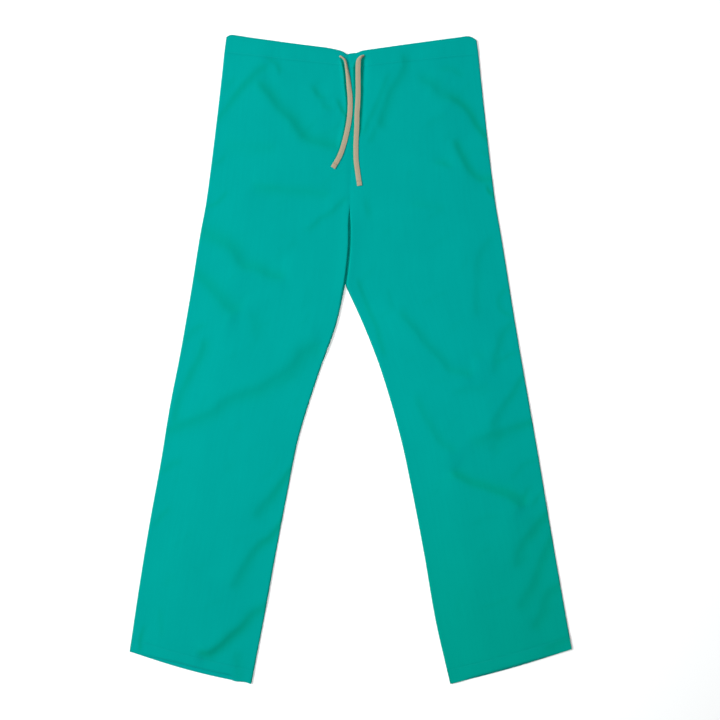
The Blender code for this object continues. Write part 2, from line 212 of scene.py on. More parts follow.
@dataclass(frozen=True)
class Crease:
    """A soft fold along a curve, with its ridge on the left of someone who walks it.

    The cloth falls steeply across the curve itself, from the ridge to the trough, and gently outside both.
    """

    name: str
    width: tuple[float, float]  # of the steep side, at the first point and at the last
    slope: tuple[float, float]  # of the steep side at both
    path: Sequence[Place]

    STEP, FEWEST = 4.0, 8  # between the places where the curve is read, and how many steps there are at least
    NEAR, NEAR_GROWTH = 2.5, 0.3  # how much of the curve counts for a place on it, and more further off
    REACH = 10.0  # widths past which the fold is flat
    FADE, FADE_SHARE = 20.0, 0.45  # the run in which an end dies out, and the most of the whole run
    WANDER, WANDERINGS = 0.22, 4.1  # how far the fold strays from its curve, in widths, and how often
    UNEVEN, UNEVENNESSES = 0.25, 5.3  # how much its slope varies, and how often
    SEED_X, SEED_DOWN, UNEVEN_SEED = 0.37, 0.11, 9
    NARROW = 1.1  # how much narrower than its width it is drawn
    STEEP = 1.6  # how abruptly the steep side ends at the ridge
    SKEW = 1.35  # how much more slowly it runs out into the trough
    TAIL, TAIL_BEND = (3.2, 2.2), 1.4  # how far the trough and the ridge run out, in widths, and how abruptly
    STANDS = 0.57  # its height for each millimetre of width at a slope of 1

    def curve(self) -> tuple[np.ndarray, np.ndarray, np.ndarray]:
        """Reads the curve.

        Returns:
            The x and the height up the page of places along it, and how far along each is.
        """
        knots = runs_along(self.path)
        run = np.linspace(0.0, knots[-1], max(round(knots[-1] / self.STEP), self.FEWEST) + 1)
        x, down = np.transpose(self.path)
        return smooth(knots, x, run), -smooth(knots, down, run), run

    def shape(self, x: np.ndarray, down: np.ndarray) -> tuple[np.ndarray, np.ndarray]:
        """Reads the fold at each place.

        Args:
            x: the places' x.
            down: how far down they are.

        Returns:
            What the fold adds to the height, and how steep it is there.
        """
        height, steep = np.zeros(np.shape(x)), np.zeros(np.shape(x))
        cx, cy, runs = self.curve()
        margin = self.REACH * max(self.width)
        near = (x > cx.min() - margin) & (x < cx.max() + margin)
        near &= (-down > cy.min() - margin) & (-down < cy.max() + margin)
        if not near.any():
            return height, steep
        tx, ty = np.gradient(cx), np.gradient(cy)
        size = np.hypot(tx, ty)
        ox, oy = x[near][:, None] - cx, -down[near][:, None] - cy
        apart = ox**2 + oy**2
        least = apart.min(1)[:, None]
        # Far from the curve more of its places count, so that its inner bends leave no mark
        weight = np.exp((least - apart) / (2 * (self.NEAR + self.NEAR_GROWTH * np.sqrt(least)) ** 2))
        weight /= weight.sum(1)[:, None]
        away = (weight * (oy * tx - ox * ty) / size).sum(1)
        run = (weight * runs).sum(1)
        along = run / runs[-1]
        width = self.width[0] + (self.width[1] - self.width[0]) * along
        slope = self.slope[0] + (self.slope[1] - self.slope[0]) * along
        seed = self.path[0][0] * self.SEED_X + self.path[0][1] * self.SEED_DOWN
        wander = noise_at(along * self.WANDERINGS, along * 0, seed)
        t = (away / width + self.WANDER * wander) * self.NARROW
        fade_run = min(self.FADE, self.FADE_SHARE * runs[-1])
        fade = slope * eased(run / fade_run) * eased((runs[-1] - run) / fade_run)
        uneven = noise_at(along * self.UNEVENNESSES, along * 0, seed + self.UNEVEN_SEED)
        fade = fade * (1 + self.UNEVEN * uneven)
        past_end = np.maximum(least[:, 0] - away**2, 0.0)
        fade = fade * np.exp(-past_end / (width + self.FADE) ** 2)
        rise = np.tanh(self.STEEP * t / np.where(t < 0, self.SKEW, 1.0))
        tail = np.where(t < 0, *self.TAIL)
        height[near] = self.STANDS * width * fade * rise * np.exp(-((np.abs(t) / tail) ** self.TAIL_BEND))
        steep[near] = fade * (1 - rise**2)
        return height, steep


RIGHT_CREASES = (
    Crease("side of the waist", (6, 13), (0.22, 0.24), (
        (-256, 172), (-236, 147), (-215, 121), (-199, 100), (-181, 80), (-165, 64), (-140, 54))),
    Crease("beside it", (8, 8), (0.1, 0.12), ((-236, 106), (-217, 88), (-201, 70))),
    Crease("under the casing", (7, 7), (0.22, 0.2), ((-130, 80), (-129, 61), (-139, 49), (-160, 40))),
    Crease("front hip", (18, 13), (0.3, 0.28), (
        (-12, 203), (-45, 196), (-76, 188), (-91, 174), (-107, 150), (-130, 129), (-148, 106), (-172, 78))),
    Crease("by the drawstring", (9, 8), (0.3, 0.22), ((-38, 118), (-50, 114), (-62, 105), (-75, 84))),
    Crease("below that", (9, 8), (0.22, 0.15), ((-28, 137), (-45, 130), (-60, 121))),
    Crease("at the drawstring", (5, 5), (0.5, 0.3), ((0, 160), (-10, 145), (-18, 131), (-29, 110))),
    Crease("beside the tape", (2.2, 2.4), (0.5, 3.0), (
        (-34, 233), (-23, 213), (-16.4, 194), (-11.4, 172), (-8, 150), (-6.8, 129), (-7.4, 112),
        (-9, 98), (-10.3, 84), (-11.4, 70), (-13.7, 56), (-16.5, 46), (-20.5, 38))),
    Crease("side nick", (6, 6), (0.2, 0.12), (
        (-262, 236), (-248, 232), (-237, 229), (-229, 220), (-225, 206))),
    Crease("across the hip", (16, 14), (0.2, 0.16), ((-185, 268), (-130, 279), (-95, 280), (-30, 286))),
    Crease("above that", (20, 18), (0.08, 0.09), ((-235, 199), (-180, 200), (-125, 204))),
    Crease("low side nick", (6, 6), (0.26, 0.14), ((-280, 320), (-258, 309), (-240, 301), (-216, 274))),
    Crease("from the crotch", (8, 8), (0.16, 0.18), (
        (-90, 355), (-69, 345), (-52, 329), (-35, 319), (-22, 306), (2, 288))),
    Crease("hip", (15, 24), (0.26, 0.24), (
        (-110, 436), (-147, 431), (-168, 420), (-192, 412), (-208, 390), (-240, 367), (-285, 346))),
    Crease("side of the thigh", (24, 14), (0.24, 0.22), (
        (-195, 506), (-225, 486), (-240, 466), (-256, 447), (-300, 420))),
    Crease("middle of the thigh", (18, 16), (0.1, 0.1), ((-172, 552), (-172, 520), (-178, 490))),
    Crease("side nick on the thigh", (9, 9), (0.14, 0.12), (
        (-310, 556), (-288, 538), (-274, 526), (-248, 522))),
    Crease("low on the thigh", (10, 12), (0.2, 0.24), (
        (-322, 705), (-311, 658), (-298, 630), (-285, 605), (-275, 585), (-266, 560), (-264, 538))),
    Crease("across the knee", (14, 26), (0.2, 0.2), (
        (-350, 720), (-318, 706), (-298, 698), (-270, 687), (-245, 675), (-225, 657), (-190, 645),
        (-165, 639), (-140, 622), (-116, 605), (-100, 590), (-84, 571), (-45, 556))),
    Crease("side nick on the knee", (7, 10), (0.16, 0.2), (
        (-350, 792), (-333, 782), (-320, 772), (-298, 763))),
    Crease("side nick on the calf", (6, 8), (0.12, 0.2), (
        (-365, 889), (-348, 875), (-338, 863), (-322, 844))),
    Crease("inner calf", (18, 9), (0.15, 0.4), (
        (-176, 876), (-160, 852), (-148, 838), (-135, 820), (-122, 802), (-98, 768))),
    Crease("inner shin", (17, 9), (0.13, 0.42), (
        (-220, 1003), (-206, 985), (-197, 968), (-185, 945), (-175, 930), (-160, 915), (-145, 904),
        (-112, 862))),
    Crease("above the hem", (12, 15), (0.46, 0.26), (
        (-282, 1116), (-270, 1113), (-255, 1112), (-235, 1099), (-215, 1080), (-195, 1064),
        (-175, 1042), (-155, 1030), (-120, 1012))),
    Crease("hem nick", (14, 14), (0.1, 0.16), ((-199, 1172), (-203, 1135), (-208, 1100))),
    Crease("hem corner", (5, 6), (0.34, 0.18), ((-380, 1118), (-378, 1085), (-370, 1055))),
    Crease("side of the shin", (8, 8), (0.1, 0.08), ((-340, 1090), (-341, 1060), (-344, 1024))),
)
LEFT_CREASES = (
    Crease("front of the waist", (13, 11), (0.22, 0.2), (
        (48, 176), (55, 150), (60, 135), (66, 118), (73, 100), (83, 84), (93, 66), (97, 50), (90, 26))),
    Crease("beside the tape", (2.2, 2.8), (1.3, 2.6), (
        (14.6, 187), (15.8, 171), (17, 153), (18.2, 128), (18.8, 104), (19.2, 80), (19.4, 60),
        (21.5, 46), (26, 36))),
    Crease("inside of the tape", (2.4, 2.4), (0.8, 1.9), (
        (7.4, 254), (5, 237), (3.4, 216), (3.4, 194), (4, 172), (3.2, 150), (5, 117), (6.6, 92),
        (6.4, 60), (10, 44))),
    Crease("beside the drawstring", (7, 7), (0.18, 0.13), (
        (16, 188), (26, 172), (33, 155), (42, 135), (48, 120), (56, 100), (73, 62))),
    Crease("below that", (8, 8), (0.14, 0.16), ((26, 202), (38, 184), (49, 160))),
    Crease("waist", (18, 13), (0.17, 0.17), (
        (188, 112), (168, 109), (158, 103), (148, 92), (134, 84), (114, 70))),
    Crease("side of the waist", (7, 13), (0.5, 0.32), (
        (272, 215), (244, 186), (235, 175), (225, 162), (215, 145), (205, 131), (190, 119), (166, 108))),
    Crease("under the casing", (9, 9), (0.18, 0.1), ((208, 80), (190, 67), (175, 62), (150, 70))),
    Crease("side of the hip", (12, 11), (0.36, 0.38), (
        (285, 252), (248, 259), (236, 260), (226, 256), (214, 244), (204, 227), (195, 208), (182, 182))),
    Crease("beside it", (10, 10), (0.18, 0.12), ((262, 223), (245, 214), (226, 204))),
    Crease("side notch", (5, 5), (0.7, 0.6), ((272, 298), (255, 288), (247, 279), (243, 264))),
    Crease("front of the hip", (10, 10), (0.22, 0.2), ((190, 241), (165, 232), (141, 226))),
    Crease("below it", (12, 12), (0.06, 0.12), ((178, 314), (140, 308), (100, 304))),
    Crease("by the seam", (9, 9), (0.14, 0.12), ((34, 340), (30, 315), (26, 288))),
    Crease("low hip", (10, 10), (0.11, 0.11), (
        (227, 516), (225, 470), (228, 440), (228, 410), (238, 385), (262, 354))),
    Crease("side nick on the hip", (8, 7), (0.24, 0.12), ((298, 509), (276, 500), (266, 486), (262, 470))),
    Crease("above that", (8, 8), (0.14, 0.16), ((262, 490), (268, 470), (286, 446))),
    Crease("side of the thigh", (13, 9), (0.14, 0.22), (
        (256, 618), (261, 580), (267, 556), (275, 536), (296, 510))),
    Crease("side nick on the thigh", (7, 7), (0.12, 0.16), ((254, 592), (278, 580), (306, 566))),
    Crease("down the thigh", (12, 12), (0.22, 0.17), (
        (226, 616), (196, 606), (178, 601), (166, 586), (150, 570), (135, 554), (118, 530), (104, 514),
        (82, 490))),
    Crease("beyond it", (12, 12), (0.13, 0.06), ((248, 582), (228, 578), (208, 578))),
    Crease("low on the thigh", (10, 12), (0.09, 0.07), ((175, 644), (210, 638), (255, 632))),
    Crease("above the knee", (13, 7), (0.14, 0.26), (
        (246, 712), (266, 684), (280, 661), (290, 645), (299, 629), (311, 612), (335, 585))),
    Crease("side of the knee", (20, 9), (0.12, 0.36), (
        (205, 728), (235, 726), (255, 719), (276, 712), (300, 705), (326, 696), (365, 684))),
    Crease("under it", (14, 16), (0.1, 0.12), ((250, 760), (262, 732), (280, 708))),
    Crease("inside of the knee", (12, 12), (0.16, 0.14), (
        (196, 754), (165, 736), (150, 716), (142, 700), (130, 677), (110, 645))),
    Crease("inside of the thigh", (8, 7), (0.22, 0.2), (
        (64, 586), (52, 548), (45, 525), (32, 495), (22, 470), (8, 432))),
    Crease("beside that", (7, 7), (0.08, 0.08), ((76, 506), (70, 478), (66, 450))),
    Crease("below the knee", (14, 12), (0.42, 0.34), (
        (320, 850), (290, 830), (265, 820), (240, 812), (216, 805), (196, 795), (174, 780))),
    Crease("side nick on the knee", (8, 7), (0.08, 0.14), (
        (280, 806), (300, 785), (314, 771), (360, 760))),
    Crease("side nick below it", (6, 6), (0.2, 0.14), ((322, 856), (334, 836), (356, 812))),
    Crease("beside that one", (8, 8), (0.16, 0.14), ((298, 850), (312, 828), (326, 804))),
    Crease("side of the calf", (18, 10), (0.08, 0.42), (
        (292, 965), (302, 930), (311, 911), (324, 897), (335, 884), (349, 867), (378, 838))),
    Crease("side of the shin", (18, 10), (0.1, 0.3), (
        (294, 1040), (316, 1008), (330, 986), (338, 965), (343, 946), (352, 924), (372, 885))),
    Crease("side above the hem", (16, 9), (0.1, 0.34), (
        (324, 1078), (338, 1052), (346, 1034), (352, 1014), (361, 1000), (376, 991), (410, 982))),
    Crease("hem corner", (10, 10), (0.14, 0.14), ((340, 1110), (368, 1096), (410, 1080))),
)


@dataclass(frozen=True)
class Spots:
    """Places on one layer of cloth, with how far each is from the outer and the inner edge."""

    x: np.ndarray
    down: np.ndarray
    from_outer: np.ndarray
    from_inner: np.ndarray

    @property
    def from_side(self) -> np.ndarray:
        """How far each place is from the nearer edge."""
        return np.minimum(self.from_outer, self.from_inner)


@dataclass
class Half:
    """One leg with its half of the waist: its outline, and how high its front lies."""

    side: Side
    sections: Sequence[Section]
    creases: Sequence[Crease]
    turn_down: Sequence[tuple[float, float]]  # distances from the centre, and how far the top edge turns down
    corner_ease: float  # how far from its corner the waist's edge starts to round off
    hem_lag: float  # how far the front's hem lies above the back's
    hem_ripple: float  # how far the hem waves beside the inseam
    inseam_roll: float  # the share of the height that is in the tight roll at the inseam
    hem_shade: float  # painted shade: how much greener and darker than the waist the cloth is painted at the hem
    seed: float

    ROLL, SWELL = 3.2, 85.0  # the widths of the tight roll at an edge and of the soft rise behind it
    OUTER_ROLL, PARTED_ROLL = 0.42, 0.92  # the tight roll's share at the side, and at the parting
    LIT_ROLL, SHADED_ROLL = 0.55, 0.45  # how much of it the inseam has all along, and more where it stands up
    SHADED_INSEAM, SHADED_REACH = 570.0, 95.0  # where the inseam stands up, and how far up and down
    SEAM_DIP, SEAM_DIP_REACH = 0.07, 4.0  # the dip is a share of the loft
    SEAM_FADE = 14.0  # how far from the centre seam the folds reach their full height
    DRIFT, DRIFT_SIZE = 0.8, (85.0, 120.0)  # the slow waves of the cloth: how high, and how wide and long
    RIPPLE, RIPPLE_SIZE, RIPPLE_SEED = 0.16, (26.0, 44.0), 3
    LEAST = 0.7  # what the loft never falls under
    PAINTED_RIM_REACH = 1.3  # how far in from an edge a dark rim of painted shade reaches
    FULL_SHADE_SLOPE = 0.45  # the slope from which the shaded side of a fold gets the full painted shade
    WEAR_TOP, WEAR_RUN = 550.0, 600.0  # where the painted shade towards the hem starts, and how far down it grows

    # Faint small creases between the main ones: how many, how far off the waist and the hem, and the ranges
    # of their place across, their slant in degrees, half length, bend, width and slope
    FAINT, FAINT_TOP, FAINT_ENDS = 34, 60.0, 130.0
    FAINT_ACROSS, FAINT_SLANT, FAINT_HALF = (0.1, 0.9), (15, 75), (14, 38)
    FAINT_BEND, FAINT_WIDTH, FAINT_SLOPE = (-0.25, 0.25), (4, 9), (0.025, 0.06)

    def __post_init__(self) -> None:
        """Works out the sections' levels and scatters the faint creases."""
        self.levels = [(row.outer_down + row.inner_down) / 2 for row in self.sections]
        self.crotch = self.levels[CROTCH_ROW]
        self.outward = self.side.outward
        self.small = self.scatter()

    @property
    def top(self) -> float:
        """The level of the waist's edge."""
        return self.levels[0]

    @property
    def bottom(self) -> float:
        """The level of the hem's edge."""
        return self.levels[-1]

    def column(self, name: str, level: np.ndarray) -> np.ndarray:
        """One column of the sections' table at each level."""
        return smooth(self.levels, [getattr(row, name) for row in self.sections], level)

    def inner_end(self, level: np.ndarray) -> tuple[np.ndarray, np.ndarray]:
        """Finds the inner end of the section at each level.

        Args:
            level: how far down the sections are.

        Returns:
            Its x and how far down it is: on the centre seam, and past the crotch on the inseam.
        """
        above, below = self.sections[: CROTCH_ROW + 1], self.sections[CROTCH_ROW:]
        high, low = self.levels[: CROTCH_ROW + 1], self.levels[CROTCH_ROW:]
        seam_down = smooth(high, [row.inner_down for row in above], level)
        leg_down = smooth(low, [row.inner_down for row in below], level)
        leg_x = smooth(low, [row.inner_x for row in below], level)
        leg = level > self.crotch
        return np.where(leg, leg_x, smooth(SEAM_DOWN, SEAM_X, seam_down)), np.where(leg, leg_down, seam_down)

    def opening(self, level: np.ndarray) -> np.ndarray:
        """How far the parting between the thighs is open at each level, from 0 to 1."""
        closing = eased((level - self.crotch) / PARTING_FADE)
        return eased((level - PARTING_TOP) / PARTING_RUN) * (1 - closing)

    def spots(self, across: np.ndarray, level: np.ndarray, layer: Layer) -> Spots:
        """Finds places on a layer.

        Args:
            across: the share of the way from the outer edge to the inner one.
            level: how far down the section is.
            layer: the front or the back.

        Returns:
            The places, with their distances to both edges.
        """
        across, level = np.asarray(across, float), np.asarray(level, float)
        outer_x, outer_down = self.column("outer_x", level), self.column("outer_down", level)
        inner_x, inner_down = self.inner_end(level)
        gap = np.full(level.shape, SEAM_GAP / 2)
        if layer is Layer.FRONT:
            gap = gap + PARTING_GAP * self.opening(level) + EDGE_INSET * (level > self.crotch)
            outer_x = outer_x - self.outward * EDGE_INSET
        inner_x = inner_x + self.outward * gap
        width = np.hypot(inner_x - outer_x, inner_down - outer_down)
        x = outer_x + (inner_x - outer_x) * across
        down = outer_down + (inner_down - outer_down) * across
        down = down + self.column("bow", level) * np.sin(np.pi * across)
        return Spots(x, down, across * width, (1 - across) * width)

    def width(self, level: float) -> float:
        """The width of the back at a level."""
        spots = self.spots(np.array([0.0, 1.0]), np.full(2, level), Layer.BACK)
        return float(spots.from_outer[1])

    def scatter(self) -> list[Crease]:
        """Scatters faint creases over the leg at all levels, slanting as the main ones do.

        Returns:
            The creases.
        """
        draw = random.Random(int(self.seed * 10))
        made = []
        for i in range(self.FAINT):
            span = self.bottom - self.top - self.FAINT_ENDS
            level = self.top + self.FAINT_TOP + span * (i + draw.random()) / self.FAINT
            spots = self.spots(np.array([draw.uniform(*self.FAINT_ACROSS)]), np.array([level]), Layer.FRONT)
            x, down = float(spots.x[0]), float(spots.down[0])
            turn = math.radians(draw.uniform(*self.FAINT_SLANT))
            half = draw.uniform(*self.FAINT_HALF)
            dx, dy = half * math.cos(turn), half * math.sin(turn)
            bend = draw.uniform(*self.FAINT_BEND)
            width, slope = draw.uniform(*self.FAINT_WIDTH), draw.uniform(*self.FAINT_SLOPE)
            path = ((x - dx, down + dy), (x - bend * dy, down - bend * dx), (x + dx, down - dy))
            made.append(Crease("faint", (width, width), (slope, slope), path))
        return made

    def folds(self, x: np.ndarray, down: np.ndarray) -> tuple[np.ndarray, np.ndarray]:
        """What all the creases of the front add to its height, and how steep they are."""
        shapes = [crease.shape(x, down) for crease in (*self.creases, *self.small)]
        return sum(height for height, _ in shapes), np.clip(sum(steep for _, steep in shapes), 0, None)

    def sides(
        self, spots: Spots, level: np.ndarray, opening: np.ndarray, sewn: np.ndarray
    ) -> tuple[np.ndarray, np.ndarray]:
        """Reads how the front comes down to its sides.

        Args:
            spots: places on the front.
            level: their levels.
            opening: how far the parting is open there.
            sewn: how far the front is held by the centre seam there.

        Returns:
            The share of its loft that each place keeps beside the outer edge, and beside the inner one.
        """
        shaded = np.exp(-(((level - self.SHADED_INSEAM) / self.SHADED_REACH) ** 2))
        tight = self.inseam_roll * (self.LIT_ROLL + self.SHADED_ROLL * shaded)
        tight = tight + (self.PARTED_ROLL - tight) * opening
        free = tight * rolled(spots.from_inner / self.ROLL)
        free = free + (1 - tight) * eased(spots.from_inner / self.SWELL)
        closed = 1 - self.SEAM_DIP * np.exp(-((spots.from_inner / self.SEAM_DIP_REACH) ** 2))
        outer = self.OUTER_ROLL * rolled(spots.from_outer / self.ROLL)
        outer = outer + (1 - self.OUTER_ROLL) * eased(spots.from_outer / self.SWELL)
        return outer, free + (closed - free) * sewn

    def front_height(self, spots: Spots, level: np.ndarray) -> tuple[np.ndarray, np.ndarray]:
        """Reads how high the front's top lies.

        Args:
            spots: places on the front.
            level: their levels.

        Returns:
            The height of each place, and how much painted shade, darker and greener, it gets: on the shaded
            side of a fold, along the edges and towards the hem.
        """
        opening = self.opening(level)
        sewn = np.where(level < self.crotch, 1 - opening, 0.0)
        folds, steep = self.folds(spots.x, spots.down)
        folds = folds * (1 - sewn * (1 - eased(spots.from_inner / self.SEAM_FADE)))
        wide, long = self.DRIFT_SIZE
        drift = self.DRIFT * noise_at(spots.x / wide, spots.down / long, self.seed)
        wide, long = self.RIPPLE_SIZE
        ripple = noise_at(spots.x / wide, spots.down / long, self.seed + self.RIPPLE_SEED)
        drift = drift + self.RIPPLE * ripple
        lip = LIP_HEIGHT * opening * np.exp(-((spots.from_inner / LIP_REACH) ** 2))
        loft = raised(FRONT_LOFT + drift + folds + lip, self.LEAST)
        outer, inner = self.sides(spots, level, opening, sewn)
        # Painted shade: darker and greener on the steep shaded side of each fold, in a thin rim along the
        # edges short of the centre seam, and more towards the hem
        rim = np.exp(-((spots.from_side / self.PAINTED_RIM_REACH) ** 2))
        hem_shade_share = self.hem_shade * eased((level - self.WEAR_TOP) / self.WEAR_RUN)
        green = np.clip(np.maximum(steep / self.FULL_SHADE_SLOPE, rim * (1 - sewn)) + hem_shade_share, 0.0, 1.0)
        return EDGE_HEIGHT + loft * outer * inner, green

    def turned_top(self, spots: Spots, near_top: np.ndarray) -> np.ndarray:
        """Reads how far the waist's edge comes down at the centre and at its outer corner.

        Args:
            spots: places on the casing.
            near_top: the share of that drop that each of them takes part in.

        Returns:
            How far each place comes down.
        """
        away, drop = np.transpose(self.turn_down)
        near = np.minimum(spots.from_inner, away[-1])
        centre = np.where(spots.from_inner < away[-1], smooth(away, drop, near), 0.0)
        corner = np.maximum(1 - spots.from_outer / self.corner_ease, 0.0)
        return near_top * (centre + self.corner_ease / 2 * corner**2)


def linear(colour: str) -> tuple[float, float, float, float]:
    """Turns an sRGB colour into a linear one.

    Args:
        colour: the colour as #rrggbb.

    Returns:
        Its linear red, green and blue, with an alpha of 1.
    """
    parts = [int(colour[i : i + 2], 16) / 255 for i in (1, 3, 5)]
    parts = [c / 12.92 if c <= 0.04045 else ((c + 0.055) / 1.055) ** 2.4 for c in parts]
    return (*parts, 1.0)


def band_scale(period: float) -> float:
    """The scale at which a wave texture on metres, which turns 20 times a unit, repeats each period in mm."""
    return math.tau / (20 * period * MM)


def add(
    tree: bpy.types.NodeTree, kind: str, inputs: dict[str | int, object] | None = None, **settings: object
) -> bpy.types.Node:
    """Adds a node to a material.

    Args:
        tree: the material's nodes.
        kind: the node's type, short of its first word.
        inputs: a value or another node's output for each named or numbered input.
        settings: the node's own settings.

    Returns:
        The node.
    """
    node = tree.nodes.new(f"ShaderNode{kind}")
    for key, value in settings.items():
        setattr(node, key, value)
    for key, value in (inputs or {}).items():
        if isinstance(value, bpy.types.NodeSocket):
            tree.links.new(value, node.inputs[key])
        else:
            node.inputs[key].default_value = value
    return node


@dataclass(frozen=True)
class Finish:
    """A real material: each kind has its own pattern, relief and way to take the light."""

    name: str
    colour: str

    RELIEF: ClassVar[tuple[float, float]] = (0.1, 0.05)  # the bump's strength, and its depth in millimetres
    SURFACE: ClassVar[dict[str, float | str]] = {}  # what is the same all over, by the shader's own names

    def pattern(self, tree: bpy.types.NodeTree) -> tuple[bpy.types.NodeSocket | None, bpy.types.NodeSocket]:
        """Draws the pattern.

        Args:
            tree: the material's nodes.

        Returns:
            The colour, or None where the finish has one plain colour, and the height.
        """
        raise NotImplementedError

    def material(self) -> bpy.types.Material:
        """Builds the material.

        Returns:
            The material.
        """
        made = bpy.data.materials.new(self.name)
        made.use_nodes = True
        tree = made.node_tree
        shader = tree.nodes["Principled BSDF"]
        colour, height = self.pattern(tree)
        if colour is None:
            shader.inputs["Base Color"].default_value = linear(self.colour)
        else:
            tree.links.new(colour, shader.inputs["Base Color"])
        strength, depth = self.RELIEF
        bump = add(tree, "Bump", {"Height": height, "Strength": strength, "Distance": depth * MM})
        tree.links.new(bump.outputs[0], shader.inputs["Normal"])
        for key, value in self.SURFACE.items():
            shader.inputs[key].default_value = linear(value) if isinstance(value, str) else value
        return made


@dataclass(frozen=True)
class Poplin(Finish):
    """Polyester-cotton poplin, plain-woven and piece-dyed: flat and matt, with a faint upright slub.

    Its pattern lies on the piece's own UV map, which is in metres along the grain.
    """

    name: str = "Dyed poplin, teal green"
    colour: str = "#008c85"
    painted_shade_colour: str = "#008a78"  # painted shade, darker and greener: on the shaded side of a fold, along the edges and towards the hems
    thread: float = 1.1  # the real spacing is 0.25 mm, drawn coarse so that the weave shows
    slub: float = 5.0
    slub_stretch: float = 0.06  # how fast it changes along the grain, against across it
    slub_relief: float = 1.6  # against the weave's
    blotch: float = 70.0
    noise_range: tuple[float, float] = (0.7, 1.3)  # of the slubs and the blotches together
    uneven: tuple[float, float] = (0.98, 1.02)  # how dark and how light the dye comes out

    RELIEF = (0.3, 0.06)
    SURFACE = {
        "Roughness": 0.8,
        "Specular IOR Level": 0.2,
        "Specular Tint": "#00e0d4",
        "Sheen Weight": 0.06,
        "Sheen Roughness": 0.5,
        "Sheen Tint": "#00c0b4",
    }

    def pattern(self, tree: bpy.types.NodeTree) -> tuple[bpy.types.NodeSocket, bpy.types.NodeSocket]:
        """Draws the dye's unevenness, the painted shade on the folds' shaded sides, along the edges and
        towards the hems, the slubs and the weave.

        Args:
            tree: the material's nodes.

        Returns:
            The colour and the height.
        """
        place = add(tree, "TexCoord").outputs["UV"]
        drawn_out = add(tree, "Mapping", {"Vector": place, "Scale": (1.0, self.slub_stretch, 1.0)}).outputs[0]
        slubs = add(tree, "TexNoise", {"Vector": drawn_out, "Scale": 1 / (self.slub * MM), "Detail": 3.0})
        blotches = add(tree, "TexNoise", {"Vector": place, "Scale": 1 / (self.blotch * MM), "Detail": 2.0})
        both = add(tree, "Math", {0: slubs.outputs[0], 1: blotches.outputs[0]}, operation="ADD").outputs[0]
        ends = dict(zip(("From Min", "From Max", "To Min", "To Max"), (*self.noise_range, *self.uneven)))
        shift = add(tree, "MapRange", {"Value": both, **ends}).outputs[0]
        # Painted shade: the colour turns darker and greener as far as the fold attribute says
        painted_shade_share = add(tree, "Attribute", attribute_name="fold").outputs["Fac"]
        colours = {0: painted_shade_share, 6: linear(self.colour), 7: linear(self.painted_shade_colour)}
        body = add(tree, "Mix", colours, data_type="RGBA").outputs[2]
        waves = {"Vector": place, "Scale": band_scale(self.thread), "Distortion": 0.4, "Detail": 1.0}
        warp, weft = (add(tree, "TexWave", waves, bands_direction=way).outputs[1] for way in "XY")
        weave = add(tree, "Math", {0: warp, 1: weft}, operation="MULTIPLY").outputs[0]
        dyed = add(tree, "VectorMath", {0: body, "Scale": shift}, operation="SCALE").outputs[0]
        parts = {0: slubs.outputs[0], 1: self.slub_relief, 2: weave}
        return dyed, add(tree, "Math", parts, operation="MULTIPLY_ADD").outputs[0]


@dataclass(frozen=True)
class SewingThread(Finish):
    """Spun polyester sewing thread, with the twist of its plies: a little glossier than the cloth."""

    twist: float = 0.5  # from one ply to the next
    uneven: tuple[float, float] = (0.88, 1.08)  # painted shade: how dark the thread is in the grooves between its plies, and how light on their crowns

    RELIEF = (0.4, 0.05)
    SURFACE = {"Roughness": 0.6, "Specular IOR Level": 0.2}

    def pattern(self, tree: bpy.types.NodeTree) -> tuple[bpy.types.NodeSocket, bpy.types.NodeSocket]:
        """Draws the plies, with painted shade in the grooves between them.

        Args:
            tree: the material's nodes.

        Returns:
            The colour and the height.
        """
        place = add(tree, "TexCoord").outputs["Object"]
        waves = {"Vector": place, "Scale": band_scale(self.twist), "Distortion": 0.5}
        plies = add(tree, "TexWave", waves, bands_direction="DIAGONAL").outputs[1]
        dark, light = self.uneven
        # Painted shade: the thread darkens where the plies dip
        shade = add(tree, "MapRange", {"Value": plies, "To Min": dark, "To Max": light}).outputs[0]
        toned = add(tree, "VectorMath", {0: linear(self.colour)[:3], "Scale": shade}, operation="SCALE")
        return toned.outputs[0], plies


